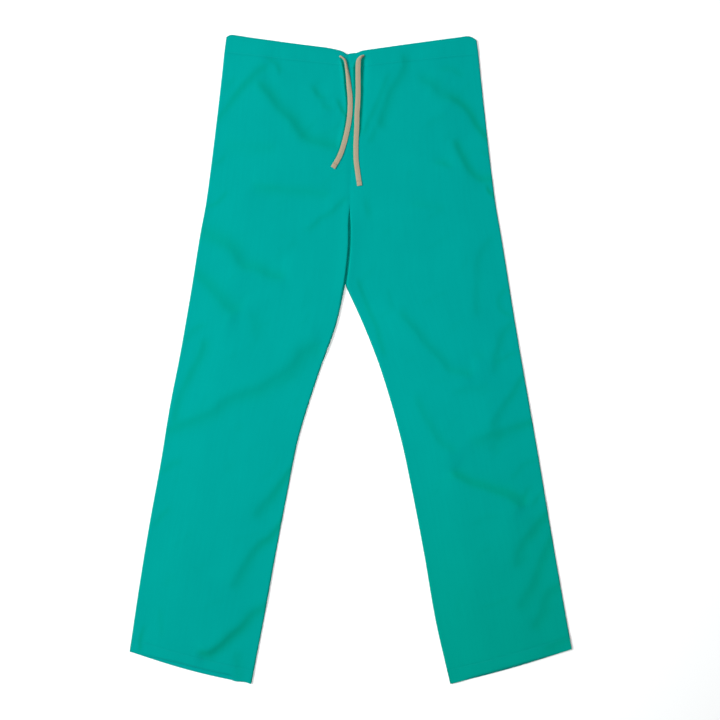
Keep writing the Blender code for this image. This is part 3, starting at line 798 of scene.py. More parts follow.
@dataclass(frozen=True)
class TwillTape(Finish):
    """Cotton twill tape, undyed: a herringbone of soft diagonal ribs between two firm selvedges.

    Its pattern lies on the tape's own UV map, in metres across and along it.
    """

    name: str = "Cotton twill tape, tan"
    colour: str = "#a99d88"
    painted_rib_shade: str = "#958870"  # painted shade down in the ribs
    rib: float = 1.5  # the real ribs are 0.8 mm apart, drawn coarser so that they show
    width: float = 9.0
    selvedge: tuple[float, float] = (0.3, 0.46)  # where it starts and is full, in widths from the middle
    selvedge_tone: tuple[float, float] = (0.97, 1.12)  # of the middle and of the selvedge

    RELIEF = (0.6, 0.15)
    SURFACE = {"Roughness": 0.9, "Specular IOR Level": 0.1, "Sheen Weight": 0.1}

    def pattern(self, tree: bpy.types.NodeTree) -> tuple[bpy.types.NodeSocket, bpy.types.NodeSocket]:
        """Draws the ribs with painted shade down in them, the fuzz on them and the paler selvedges.

        Args:
            tree: the material's nodes.

        Returns:
            The colour and the height.
        """
        place = add(tree, "TexCoord").outputs["UV"]
        parts = add(tree, "SeparateXYZ", {0: place}).outputs
        middle = add(tree, "Math", {0: parts[0], 1: self.width / 2 * MM}, operation="SUBTRACT").outputs[0]
        mirrored = add(tree, "Math", {0: middle}, operation="ABSOLUTE").outputs[0]
        chevron = add(tree, "Math", {0: parts[1], 1: mirrored}, operation="ADD").outputs[0]
        across = add(tree, "CombineXYZ", {0: chevron}).outputs[0]
        waves = {"Vector": across, "Scale": band_scale(self.rib), "Distortion": 0.3}
        ribs = add(tree, "TexWave", waves, bands_direction="X").outputs[1]
        fuzz = add(tree, "TexNoise", {"Vector": place, "Scale": FINE_GRAIN, "Detail": 3.0}).outputs[0]
        soft = add(tree, "Math", {0: ribs, 1: fuzz}, operation="MULTIPLY").outputs[0]
        # Painted shade: the colour darkens down in the ribs, where the relief is low
        colours = {0: soft, 6: linear(self.painted_rib_shade), 7: linear(self.colour)}
        body = add(tree, "Mix", colours, data_type="RGBA").outputs[2]
        start, full = (share * self.width * MM for share in self.selvedge)
        tones = dict(zip(("To Min", "To Max"), self.selvedge_tone))
        edges = {"Value": mirrored, "From Min": start, "From Max": full, **tones}
        selvedge = add(tree, "MapRange", edges).outputs[0]
        toned = add(tree, "VectorMath", {0: body, "Scale": selvedge}, operation="SCALE").outputs[0]
        return toned, soft


@dataclass(frozen=True)
class PaintedBoard(Finish):
    """A matt white painted board: even, with no pattern that would draw the eye."""

    name: str = "Matt white board"
    colour: str = "#f7f7f6"

    RELIEF = (0.1, 0.05)
    SURFACE = {"Roughness": 0.9, "Specular IOR Level": 0.1}

    def pattern(self, tree: bpy.types.NodeTree) -> tuple[None, bpy.types.NodeSocket]:
        """Draws the paint's grain.

        Args:
            tree: the material's nodes.

        Returns:
            No colour of its own, and the height.
        """
        place = add(tree, "TexCoord").outputs["Object"]
        return None, add(tree, "TexNoise", {"Vector": place, "Scale": FINE_GRAIN, "Detail": 2.0}).outputs[0]


def as_piece(
    name: str, mesh: bmesh.types.BMesh, coat: bpy.types.Material, replaces: Sequence[str] = ()
) -> bpy.types.Object:
    """Makes a mesh a named piece that rides on the trousers.

    Args:
        name: the piece's name.
        mesh: its shape, in metres, in place.
        coat: its material.
        replaces: the CAD nodes that it stands for.

    Returns:
        The piece.
    """
    piece = as_object(name, mesh, coat)
    piece.data.shade_smooth()
    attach(piece, BODY)
    if replaces:
        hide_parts(*replaces)
    LOG.info("%s: %d faces", name, len(piece.data.polygons))
    return piece


def as_object(name: str, mesh: bmesh.types.BMesh, coat: bpy.types.Material) -> bpy.types.Object:
    """Makes a mesh an object of the scene.

    Args:
        name: the object's name.
        mesh: its shape, in metres, in place. It is freed.
        coat: its material.

    Returns:
        The object.
    """
    data = bpy.data.meshes.new(name)
    mesh.to_mesh(data)
    mesh.free()
    data.materials.append(coat)
    made = bpy.data.objects.new(name, data)
    bpy.context.collection.objects.link(made)
    return made


def give_wall(
    mesh: bmesh.types.BMesh,
    wall: float,
    rounding: float,
    wall_up: bool = False,
    sewn: bmesh.types.BMLayerItem | None = None,
) -> None:
    """Turns an open sheet into a closed wall with rounded edges.

    Args:
        mesh: the sheet, in metres.
        wall: how thick it becomes, in millimetres.
        rounding: how far in its sharp edges are rounded, in millimetres.
        wall_up: whether the wall goes up from the sheet instead of down.
        sewn: the points' layer that is set where an edge stays sharp, if there is one.
    """
    bmesh.ops.recalc_face_normals(mesh, faces=mesh.faces)
    up = sum(face.normal.z for face in mesh.faces) > 0
    if up == wall_up:
        bmesh.ops.reverse_faces(mesh, faces=mesh.faces)
    bmesh.ops.solidify(mesh, geom=mesh.faces[:], thickness=wall * MM)
    rim = [edge for edge in mesh.edges if edge.calc_face_angle(0.0) > SHARP]
    if sewn is not None:
        rim = [edge for edge in rim if not all(vert[sewn] > 0.5 for vert in edge.verts)]
    bmesh.ops.bevel(
        mesh, geom=rim, offset=rounding * MM, segments=2, profile=0.5, affect="EDGES", material=-1
    )
    bmesh.ops.recalc_face_normals(mesh, faces=mesh.faces)


def shares(length: float, step: float, edge: Sequence[float]) -> list[float]:
    """Shares along a length: close together near both ends, then in even steps.

    Args:
        length: the whole length, in millimetres.
        step: the even step between the ends.
        edge: distances from each end that have a row of their own, from 0 up.

    Returns:
        The shares, from 0 to 1.
    """
    near = [distance / length for distance in edge]
    count = max(round((1 - 2 * near[-1]) * length / step), 1)
    middle = [near[-1] + (1 - 2 * near[-1]) * i / count for i in range(1, count)]
    return near + middle + [1 - share for share in reversed(near)]


def thinned(steps: Sequence[float], extra: Sequence[float]) -> list[float]:
    """Adds extra steps to a rising list, in place of those that lie too near them.

    Args:
        steps: the list.
        extra: what is added to it, in rising order.

    Returns:
        The new list.
    """
    gap = min(b - a for a, b in zip(extra, extra[1:])) * THINNING
    kept = [step for step in steps if all(abs(step - new) > gap for new in extra)]
    return sorted([*kept, *extra])


@dataclass
class ClothGrid:
    """A grid of cloth whose points are put in place by a rule, then given a wall and rounded edges.

    The rule takes each point's share across and share down and returns its place in metres and how much
    painted shade it gets. The wall goes down from there, or up where wall_up is set.
    """

    columns: Sequence[float]
    rows: Sequence[float]
    rule: Callable[[np.ndarray, np.ndarray], tuple[np.ndarray, np.ndarray]]
    wall: float
    wall_up: bool
    seams: tuple[bool, bool]  # whether the first and the last row are sewn to a neighbour
    centre_seam: float  # the share down to which the last column is sewn to the other half
    rounding: float  # of the wall
    uv_width: float
    uv_length: float
    holes: Sequence[Hole] = ()

    def build(self) -> bmesh.types.BMesh:
        """Builds the closed mesh, with its UV map and its attribute of painted shade.

        Returns:
            The mesh, in metres.
        """
        mesh = bmesh.new()
        last_column, last_row = len(self.columns) - 1, len(self.rows) - 1
        bmesh.ops.create_grid(mesh, x_segments=last_column, y_segments=last_row, size=0.5)
        flat = np.array([vert.co[:2] for vert in mesh.verts])
        across = np.array(self.columns)[np.rint((flat[:, 0] + 0.5) * last_column).astype(int)]
        share = np.array(self.rows)[np.rint((0.5 - flat[:, 1]) * last_row).astype(int)]
        # folds here: how much painted shade each point gets
        places, folds = self.rule(across, share)
        sewn = (share < TINY) & self.seams[0] | (share > 1 - TINY) & self.seams[1]
        sewn |= (across > 1 - TINY) & (share < self.centre_seam)
        sewn_layer = mesh.verts.layers.float.new("sewn")
        # The "fold" attribute carries the painted shade into the poplin's colour
        painted_shade_layer = mesh.verts.layers.float.new("fold")
        uv_layer = mesh.loops.layers.uv.new(UV_MAP)
        for vert, place, fold, seam, a, s in zip(mesh.verts, places, folds, sewn, across, share):
            vert.co = place
            vert[painted_shade_layer] = fold
            vert[sewn_layer] = float(seam)
            uv = (a * self.uv_width * MM, -s * self.uv_length * MM)
            for loop in vert.link_loops:
                loop[uv_layer].uv = uv
        self.cut_holes(mesh, across, share)
        give_wall(mesh, self.wall, self.rounding * self.wall, self.wall_up, sewn_layer)
        return mesh

    def cut_holes(self, mesh: bmesh.types.BMesh, across: np.ndarray, share: np.ndarray) -> None:
        """Takes out the faces inside each hole.

        Args:
            mesh: the grid.
            across: each point's share across.
            share: each point's share down.
        """
        mesh.verts.ensure_lookup_table()
        for left, right, upper, lower in self.holes:
            inside = (across > left) & (across < right) & (share > upper) & (share < lower)
            within = {mesh.verts[i] for i in np.flatnonzero(inside)}
            gone = [face for face in mesh.faces if all(vert in within for vert in face.verts)]
            bmesh.ops.delete(mesh, geom=gone, context="FACES")


@dataclass
class ClothPart:
    """One cut piece of a half: what its panels, casings and hems share."""

    half: Half
    layer: Layer
    coat: bpy.types.Material

    STEP, BACK_STEP = 2.7, 6.0  # between columns
    EDGE_STEPS = (
        0.0, 0.25, 0.7, 1.4, 2.2, 3.2, 4.3, 5.5, 6.8, 8.1, 9.4, 10.7, 12.0, 13.3, 14.8, 16.6, 18.8, 21.2,
        23.8, 26.0, 27.4, 28.8, 30.2, 32.4,
    )  # fmt: skip
    SIDE_EASE = 12.0  # how far from the sides the puckers reach their full height
    PUCKER_SIZE, PUCKER_SEED = (7.0, 60.0), 5  # along the seam and away from it
    FINE_SIZE, FINE_SEED, FINE_SHARE = (3.4, 40.0), 2.0, 0.6

    @property
    def side(self) -> str:
        """The wearer's side, as it is in the names."""
        return self.half.side.value

    @property
    def node(self) -> str:
        """The layer and the side, as they are in the names."""
        return f"{self.layer.value}_{self.side}"

    def columns(self, level: float) -> list[float]:
        """Shares across the piece, as they suit its width at a level."""
        step = self.STEP if self.layer is Layer.FRONT else self.BACK_STEP
        return shares(self.half.width(level), step, self.EDGE_STEPS)

    def gathers(self, x: np.ndarray, away: np.ndarray, depth: float, run: float) -> np.ndarray:
        """Reads the small puckers that a seam pulls into the cloth beside it.

        Args:
            x: where each place is along the seam.
            away: how far each place is from the seam.
            depth: the puckers' height at the seam.
            run: how far from the seam they die out.

        Returns:
            What they add to the height.
        """
        (long, deep), (fine_long, fine_deep) = self.PUCKER_SIZE, self.FINE_SIZE
        waves = noise_at(x / long, away / deep, self.half.seed + self.PUCKER_SEED)
        waves = waves + self.FINE_SHARE * noise_at(x / fine_long, away / fine_deep, self.FINE_SEED)
        return depth * waves * np.exp(-away / run)

    def declare(self, piece: bpy.types.Object, width: float, length: float, area: float) -> None:
        """Args:
            piece: the cloth; not used.
            width: its flat width, in millimetres; not used.
            length: its flat length, in millimetres; not used.
            area: its flat area, in square millimetres; not used.
        """
        rests = [] if self.layer is Layer.BACK else [f"back_{self.side}"]


@dataclass
class Panel(ClothPart):
    """A front or back of one leg, from the casing seam to the hem seam."""

    seam_gather: float = 0.16  # how high the puckers stand at the casing seam
    hem_gather: float = 0.12
    gather_run: float = 20.0
    back_rise: float = 0.5  # the highest that a crease lifts the back off the table
    back_ease: float = 20.0  # how far from its edges it may do so in full
    back_full: float = 1.5  # how deep a crease of the front is that does
    rounding: float = 0.22  # of the wall

    ROW_STEP, ROW_EDGE = 3.0, (0.0, 0.4, 0.9, 1.5, 2.2, 3.2)  # between rows, and those near both seams
    WIDTHS_READ = 25

    def bounds(self) -> tuple[float, float]:
        """The levels of the casing seam and of the hem seam."""
        top = self.half.top + CASING_DEPTH + SEAM_GAP / 2
        return top, self.half.bottom - HEM_DEPTH - SEAM_GAP / 2

    def rule(self, across: np.ndarray, share: np.ndarray) -> tuple[np.ndarray, np.ndarray]:
        """Puts the panel's points in place.

        The back lies on the table, but for shallow creases that arch off it.

        Args:
            across: each point's share across.
            share: each point's share down.

        Returns:
            The places in metres, and how much painted shade each gets.
        """
        top, bottom = self.bounds()
        level = top + (bottom - top) * share
        spots = self.half.spots(across, level, self.layer)
        if self.layer is Layer.FRONT:
            height, fold = self.half.front_height(spots, level)
            inside = eased(spots.from_side / self.SIDE_EASE)
            for away, depth in ((level - top, self.seam_gather), (bottom - level, self.hem_gather)):
                height = height + inside * self.gathers(spots.x, away, depth, self.gather_run)
            return in_metres(spots.x, spots.down, height), fold
        folds, _ = self.half.folds(spots.x, spots.down)
        inside = eased(spots.from_side / self.back_ease)
        inside = inside * eased((level - top) / self.back_ease) * eased((bottom - level) / self.back_ease)
        # The back is painted with shade as far as it arches under a crease of the front
        rise = np.clip(-folds / self.back_full, 0.0, 1.0) * inside
        return in_metres(spots.x, spots.down, self.back_rise * rise), rise

    def build(self) -> bpy.types.Object:
        """Builds the panel.

        Returns:
            The piece that stands for the panel's solid.
        """
        top, bottom = self.bounds()
        length = bottom - top
        front = self.layer is Layer.FRONT
        grid = ClothGrid(
            columns=self.columns((top + bottom) / 2),
            rows=shares(length, self.ROW_STEP if front else self.BACK_STEP, self.ROW_EDGE),
            rule=self.rule,
            wall=POPLIN_WALL,
            wall_up=not front,
            seams=(True, True),
            centre_seam=((PARTING_TOP if front else self.half.crotch) - top) / length,
            rounding=self.rounding,
            uv_width=self.half.width((top + bottom) / 2),
            uv_length=length,
        )
        piece = as_piece(f"panel_{self.node}", grid.build(), self.coat, [self.node])
        widths = [self.half.width(level) for level in np.linspace(top, bottom, self.WIDTHS_READ)]
        self.declare(piece, max(widths), length, float(np.mean(widths)) * length)
        return piece


@dataclass
class TurnedEdge(ClothPart):
    """A double layer along an edge of the trousers, turned and sewn: what casings and hems share."""

    stitch_line: float = 2.2  # from the seam to the row of stitches
    sunk: float = 0.02  # how deep the stitches lie
    groove: float = 0.8  # how wide the cloth dips under them
    clearance: float = 0.25  # between the front's double layer and the back's
    rounding: float = 0.4  # of the wall

    KIND: ClassVar[str]
    DEPTH: ClassVar[float]
    ROWS: ClassVar[tuple[float, ...]]  # from the top down
    SEAMS: ClassVar[tuple[bool, bool]]  # whether the first and the last row are sewn
    CENTRE_SEAM: ClassVar[float]  # the share down to which the two halves are sewn together
    PUCKERS: ClassVar[tuple[float, float]]  # how high they are, and how far they run
    EDGE_LEVEL: ClassVar[float]  # the share of its height that the front keeps at the open edge
    EDGE_RUN: ClassVar[float]  # how soon it falls there

    BACK_SHARE = 0.8  # of the dip under the stitches
    FILLED = 0.98  # how much of the rectangle round it the piece fills

    @property
    def inner_depth(self) -> float:
        """The piece's depth, short of its seam's gap."""
        return self.DEPTH - SEAM_GAP / 2

    def heights(
        self, spots: Spots, level: np.ndarray, from_seam: np.ndarray, to_edge: np.ndarray
    ) -> tuple[np.ndarray, np.ndarray]:
        """Reads how high the piece's outer face lies.

        Args:
            spots: places on the piece.
            level: their levels.
            from_seam: how far they are from the seam.
            to_edge: how far they are from the open edge.

        Returns:
            The height of each place, and how much painted shade it gets.
        """
        dip = self.sunk * np.exp(-(((from_seam - self.stitch_line) / self.groove) ** 2))
        if self.layer is Layer.BACK:
            return self.BACK_SHARE * dip, np.zeros(level.shape)
        height, fold = self.half.front_height(spots, level)
        puckers = self.gathers(spots.x, from_seam, *self.PUCKERS)
        height = height + eased(spots.from_side / self.SIDE_EASE) * (puckers - dip)
        fall = self.EDGE_LEVEL + (1 - self.EDGE_LEVEL) * rolled(to_edge / self.EDGE_RUN)
        # The double layer stays over the back's down its rolled outer edge too
        least = 2 * TURNED_WALL + self.clearance
        return np.maximum(EDGE_HEIGHT + (height - EDGE_HEIGHT) * fall, least), fold

    def build(self) -> bpy.types.Object:
        """Builds the casing or the hem.

        Returns:
            The piece that stands for its solid.
        """
        columns, rows, holes = self.lines()
        width = self.half.width(self.edge)
        grid = ClothGrid(
            columns=columns,
            rows=rows,
            rule=self.rule,
            wall=TURNED_WALL,
            wall_up=self.layer is Layer.BACK,
            seams=self.SEAMS,
            centre_seam=self.CENTRE_SEAM,
            rounding=self.rounding,
            uv_width=width,
            uv_length=self.DEPTH,
            holes=holes,
        )
        node = f"{self.KIND}_{self.node}"
        piece = as_piece(f"turned_{node}", grid.build(), self.coat, [node])
        self.declare(piece, width, self.DEPTH, width * self.DEPTH * self.FILLED)
        return piece


@dataclass
class Casing(TurnedEdge):
    """Half of the front or back casing: the waist's turned-down edge, which the tape runs through."""

    slit: Place | None = None
    slit_width: float = 2.6
    slit_length: float = 4.0
    seam_pull: float = 30.0  # how far from the centre the cloth follows the seam's curve

    KIND, DEPTH = "casing", CASING_DEPTH
    SEAMS, CENTRE_SEAM = (False, True), 1.1  # the centre seam runs right down, past its last row
    SLIT_COLUMNS, SLIT_ROWS = (-1, -0.4, 0.4, 1), (-1, -0.8, 0.8, 1)  # from its middle, in halves of it
    SLIT_SEARCH = (900, 400)  # how finely its place is looked for
    PUCKERS = (0.16, 60.0)
    EDGE_LEVEL, EDGE_RUN = 0.5, 14.0
    ROWS = (
        0.0, 0.5, 1.2, 2.2, 3.6, 5.5, 8.0, 10.0, 11.5, 13.0, 15.0, 17.0, 19.5, 22.0, 24.5, 26.5, 28.0,
        28.6, 29.1, 29.6, 30.1, 30.6, 31.2, 31.85,
    )  # fmt: skip

    @property
    def edge(self) -> float:
        """The level of the open edge."""
        return self.half.top

    @property
    def stitch_share(self) -> float:
        """The share down at which the row of stitches lies."""
        return 1 - self.stitch_line / self.inner_depth

    def rule(self, across: np.ndarray, share: np.ndarray) -> tuple[np.ndarray, np.ndarray]:
        """Puts the casing's points in place.

        Args:
            across: each point's share across.
            share: each point's share down.

        Returns:
            The places in metres, and how much painted shade each gets.
        """
        depth = self.inner_depth
        level = self.edge + depth * share
        spots = self.half.spots(across, level, self.layer)
        down = spots.down + self.half.turned_top(spots, 1 - share)
        aside = smooth(SEAM_DOWN, SEAM_X, down) - smooth(SEAM_DOWN, SEAM_X, spots.down)
        x = spots.x + aside * np.maximum(1 - spots.from_inner / self.seam_pull, 0.0)
        height, fold = self.heights(spots, level, depth * (1 - share), depth * share)
        return in_metres(x, down, height), fold

    def lines(self) -> tuple[list[float], list[float], list[Hole]]:
        """Lays out the grid, with clean sides to the slit where there is one.

        Returns:
            The shares across, the shares down, and the holes.
        """
        columns = self.columns(self.edge + CASING_DEPTH / 2)
        rows = [row / self.ROWS[-1] for row in self.ROWS]
        if not self.slit:
            return columns, rows, []
        steps = (np.linspace(0, 1, count) for count in self.SLIT_SEARCH)
        a, s = (axis.ravel() for axis in np.meshgrid(*steps))
        spots = self.half.spots(a, self.edge + self.inner_depth * s, Layer.FRONT)
        at = int(np.argmin(np.hypot(spots.x - self.slit[0], spots.down - self.slit[1])))
        width = self.half.width(self.edge + self.inner_depth * s[at])
        half_width = self.slit_width / 2 / width
        half_length = self.slit_length / 2 / self.inner_depth
        own_columns = [a[at] + k * half_width for k in self.SLIT_COLUMNS]
        own_rows = [s[at] + k * half_length for k in self.SLIT_ROWS]
        hole = (own_columns[0] - TINY, own_columns[-1] + TINY, own_rows[0] - TINY, own_rows[-1] + TINY)
        return thinned(columns, own_columns), thinned(rows, own_rows), [hole]


@dataclass
class Hem(TurnedEdge):
    """The turned-up edge at the end of one front or back."""

    KIND, DEPTH = "hem", HEM_DEPTH
    SEAMS, CENTRE_SEAM = (True, False), 0.0
    PUCKERS = (0.12, 40.0)
    EDGE_LEVEL, EDGE_RUN = 0.3, 6.0
    RIPPLE = (0.83, 0.99)  # the shares across between which the edge waves once, out and in
    LAG_START, LAG_BEND = 0.5, 0.7  # how far across the lag is full, and how abruptly it starts
    LAG_END, LAG_FADE = 0.92, 0.1  # the share across at which it is gone, and the run before that
    ROWS = (
        0.0, 0.6, 1.1, 1.6, 2.1, 2.6, 3.2, 4.2, 6.0, 8.5, 11.0, 13.5, 16.0, 18.5, 20.5, 22.0, 23.2,
        24.1, 24.85,
    )  # fmt: skip

    @property
    def edge(self) -> float:
        """The level of the open edge."""
        return self.half.bottom

    @property
    def stitch_share(self) -> float:
        """The share down at which the row of stitches lies."""
        return self.stitch_line / self.inner_depth

    def rule(self, across: np.ndarray, share: np.ndarray) -> tuple[np.ndarray, np.ndarray]:
        """Puts the hem's points in place.

        Args:
            across: each point's share across.
            share: each point's share down.

        Returns:
            The places in metres, and how much painted shade each gets.
        """
        from_seam, to_edge = self.inner_depth * share, self.inner_depth * (1 - share)
        level = self.edge - to_edge
        spots = self.half.spots(across, level, self.layer)
        start, end = self.RIPPLE
        wave = np.sin((np.clip(across, start, end) - (start + end) / 2) * math.tau / (end - start))
        down = spots.down - self.half.hem_ripple * wave * share**2
        if self.layer is Layer.FRONT:
            lag = self.half.hem_lag * eased(across / self.LAG_START) ** self.LAG_BEND
            down = down - lag * eased((self.LAG_END - across) / self.LAG_FADE) * share
        height, fold = self.heights(spots, level, from_seam, to_edge)
        return in_metres(spots.x, down, height), fold

    def lines(self) -> tuple[list[float], list[float], list[Hole]]:
        """The shares across, the shares down, and no holes."""
        return self.columns(self.edge), [row / self.ROWS[-1] for row in self.ROWS], []


class Surface:
    """The outer faces of finished pieces, for what lies on them."""

    START = 90.0  # above all of them

    def __init__(self, pieces: Sequence[bpy.types.Object]) -> None:
        """Keeps a search tree for each piece."""
        state = bpy.context.evaluated_depsgraph_get()
        self.trees = [BVHTree.FromObject(piece, state) for piece in pieces]

    def height(self, x: float, down: float) -> float | None:
        """Finds the highest face at a place of the tables.

        Args:
            x: the place's x.
            down: how far down it is.

        Returns:
            The face's height in millimetres, or None beside the pieces.
        """
        start = Vector(in_metres(np.array([x]), np.array([down]), np.array([self.START]))[0])
        hits = [tree.ray_cast(start, -UP)[0] for tree in self.trees]
        found = [hit.z / MM for hit in hits if hit is not None]
        return max(found) if found else None


@dataclass
class StitchRow:
    """Lockstitches along a line: short lengths of thread, each half sunk in the cloth."""

    pitch: float = 3.0
    length: float = 2.3
    thick: float = 0.34

    FLAT = 0.8  # how high a thread is for its width
    SIDES, RINGS = 6, 4

    def add_stitch(self, mesh: bmesh.types.BMesh, middle: Vector, ahead: Vector) -> None:
        """Adds one stitch, a rounded length of thread, to a mesh.

        Args:
            mesh: the row.
            middle: the stitch's middle, in metres.
            ahead: the way that it points.
        """
        turn = ahead.to_track_quat("X", "Z").to_matrix().to_4x4()
        size = Matrix.Diagonal((self.length / 2, self.thick / 2, self.thick / 2 * self.FLAT, 1)) * MM
        size[3][3] = 1.0
        bmesh.ops.create_uvsphere(
            mesh,
            u_segments=self.SIDES,
            v_segments=self.RINGS,
            radius=1.0,
            matrix=Matrix.Translation(middle) @ turn @ size,
        )

    def along(self, line: np.ndarray) -> bmesh.types.BMesh:
        """Sews stitches evenly along a line of points in metres.

        Args:
            line: the points that the row follows.

        Returns:
            The row's mesh.
        """
        mesh = bmesh.new()
        steps = np.linalg.norm(np.diff(line, axis=0), axis=1)
        runs = np.concatenate([[0.0], np.cumsum(steps)])
        count = int(runs[-1] / (self.pitch * MM))
        half = self.length / 2 * MM
        for i in range(count):
            at = (i + 0.5) * runs[-1] / count
            ends = [Vector([np.interp(at + k * half, runs, line[:, j]) for j in range(3)]) for k in (-1, 1)]
            self.add_stitch(mesh, (ends[0] + ends[1]) / 2, (ends[1] - ends[0]).normalized())
        return mesh


@dataclass
class Drawstring:
    """One free end of the flat tape: out of its slit, over the casing and down the front."""

    side: Side
    slit: Place
    route: Sequence[Place]  # from the slit to the tip
    spread_run: float  # how far from the slit the tape lies flat
    coat: bpy.types.Material
    thread: bpy.types.Material
    width: float = 9.0
    thick: float = 0.7
    rounding: float = 0.18
    selvedge: float = 0.16  # how much thicker it is there
    clear: float = 0.5  # over the cloth
    tip: float = 9.0  # from the end up to the sewn bar
    turned: float = 0.5  # how much higher the tape lies where its end is turned in

    COLUMN_STEP, COLUMN_EDGE = 1.0, (0.0, 0.4, 0.9)  # between columns, and those near both selvedges
    STEP = 1.5  # along the tape
    BUNCH = math.radians(300)  # how far the tape is bent across where it squeezes out of the slit
    LYING = math.radians(40)  # and where it lies on the cloth
    SPREAD_BEND = 1.4  # how abruptly it opens out between the two
    PROBES = 7  # across the tape, that feel for the cloth under it
    BRIDGE, SOFTENED = 3, 4  # a stiff tape bridges dips of this many steps, and is smoothed this many times
    INSIDE, RISE_RUN = 2.4, 5.5  # how deep the tape is followed into its slit, and how far it takes to rise
    SELVEDGE_FROM, SELVEDGE_OVER = 0.36, 0.08  # where it starts and how soon it is full, in widths
    TURNED_RUN = 1.5  # in which the tape rises to its turned end
    BAR_STITCH, BAR_LIFT = (1.7, 0.55), 0.62  # its stitches, and how far they lie over the tape's face
    BAR_COLUMNS, BAR_ROWS = [1.15 * i for i in range(-3, 4)], (0.0, 0.9)

    def centre_line(self, surface: Surface) -> tuple[np.ndarray, np.ndarray]:
        """Follows the route over the cloth.

        Args:
            surface: the cloth that the tape lies on.

        Returns:
            The points of the tape's middle in metres, and the run at each in millimetres.
        """
        knots = runs_along(self.route)
        count = round(knots[-1] / self.STEP)
        run = np.linspace(0.0, knots[-1], count + 1)
        x, down = (smooth(knots, values, run) for values in zip(*self.route))
        turn = np.arctan2(np.gradient(down), np.gradient(x))
        top = np.zeros(count + 1)
        for i, bend in enumerate(self.bend(run)):
            half = self.width / bend * math.sin(min(bend, math.pi) / 2)
            for k in np.linspace(-half, half, self.PROBES):
                spot = surface.height(x[i] - k * math.sin(turn[i]), down[i] + k * math.cos(turn[i]))
                top[i] = max(top[i], spot or 0.0)
        wide = np.array([top[max(i - self.BRIDGE, 0) : i + self.BRIDGE + 1].max() for i in range(len(top))])
        for _ in range(self.SOFTENED):
            wide[1:-1] = (wide[:-2] + 2 * wide[1:-1] + wide[2:]) / 4
        height = np.maximum(wide, top) + self.clear + self.thick / 2
        height -= (self.INSIDE + self.clear) * (1 - eased(run / self.RISE_RUN))
        return in_metres(x, down, height), run

    def bend(self, run: np.ndarray) -> np.ndarray:
        """How far the tape is bent across at each run, in radians."""
        spread = (1 - np.clip(run / self.spread_run, 0.0, 1.0)) ** self.SPREAD_BEND
        return self.LYING + (self.BUNCH - self.LYING) * spread

    def lifts(self, columns: Sequence[float], run: np.ndarray) -> np.ndarray:
        """Reads how much higher than a flat band the tape's upper face is.

        Args:
            columns: shares across.
            run: runs along the tape.

        Returns:
            The height over the band, for each run and column.
        """
        aside = np.abs(np.array(columns) - 0.5)
        selvedge = self.selvedge * eased((aside - self.SELVEDGE_FROM) / self.SELVEDGE_OVER)
        turned = self.turned * eased((run - run[-1] + self.tip - 1) / self.TURNED_RUN)
        return self.thick / 2 + selvedge[None, :] + turned[:, None]

    def mesh(self, points: np.ndarray, run: np.ndarray) -> bmesh.types.BMesh:
        """Builds the tape round its middle line.

        Args:
            points: the middle line, in metres.
            run: the run at each of its points.

        Returns:
            The tape's closed mesh, in metres.
        """
        ahead = np.gradient(points, axis=0)
        ahead /= np.linalg.norm(ahead, axis=1)[:, None]
        side = np.cross(ahead, UP)
        side /= np.linalg.norm(side, axis=1)[:, None]
        up = np.cross(side, ahead)
        bend = self.bend(run)
        drop = self.width / bend * (1 - np.cos(bend / 2))
        columns = shares(self.width, self.COLUMN_STEP, self.COLUMN_EDGE)
        lifts = self.lifts(columns, run)
        mesh = bmesh.new()
        last_column, last_row = len(columns) - 1, len(run) - 1
        bmesh.ops.create_grid(mesh, x_segments=last_column, y_segments=last_row, size=0.5)
        uv_layer = mesh.loops.layers.uv.new(UV_MAP)
        for vert in mesh.verts:
            column = round((vert.co.x + 0.5) * last_column)
            i = round((0.5 - vert.co.y) * last_row)
            arc = (columns[column] - 0.5) * bend[i]
            radius = self.width / bend[i]
            lift = drop[i] - radius * (1 - math.cos(arc)) + lifts[i, column]
            vert.co = Vector(points[i] + (side[i] * radius * math.sin(arc) + up[i] * lift) * MM)
            for loop in vert.link_loops:
                loop[uv_layer].uv = (columns[column] * self.width * MM, run[i] * MM)
        give_wall(mesh, self.thick, self.rounding)
        return mesh

    def build(self, surface: Surface) -> bpy.types.Object:
        """Builds the tape end and the sewn bar near its tip.

        Args:
            surface: the cloth that the tape lies on.

        Returns:
            The tape.
        """
        points, run = self.centre_line(surface)
        node = f"drawstring_{self.side.value}"
        tape = as_piece(f"tape_{self.side.value}", self.mesh(points, run), self.coat, [node])
        bar = self.bar(points, run)
        return tape

    def bar(self, points: np.ndarray, run: np.ndarray) -> bpy.types.Object:
        """Sews the bar that holds the tape's turned end.

        Args:
            points: the tape's middle line, in metres.
            run: the run at each of its points.

        Returns:
            The bar.
        """
        at = int(np.argmin(np.abs(run - (run[-1] - self.tip))))
        middle = Vector(points[at]) + UP * ((self.thick / 2 + self.BAR_LIFT) * MM)
        ahead = (Vector(points[at + 1]) - Vector(points[at - 1])).normalized()
        side = ahead.cross(UP).normalized()
        mesh = bmesh.new()
        length, thick = self.BAR_STITCH
        row = StitchRow(length=length, thick=thick)
        for across in self.BAR_COLUMNS:
            for along in self.BAR_ROWS:
                row.add_stitch(mesh, middle + side * (across * MM) + ahead * (along * MM), side)
        return as_piece(f"bar_{self.side.value}", mesh, self.thread)


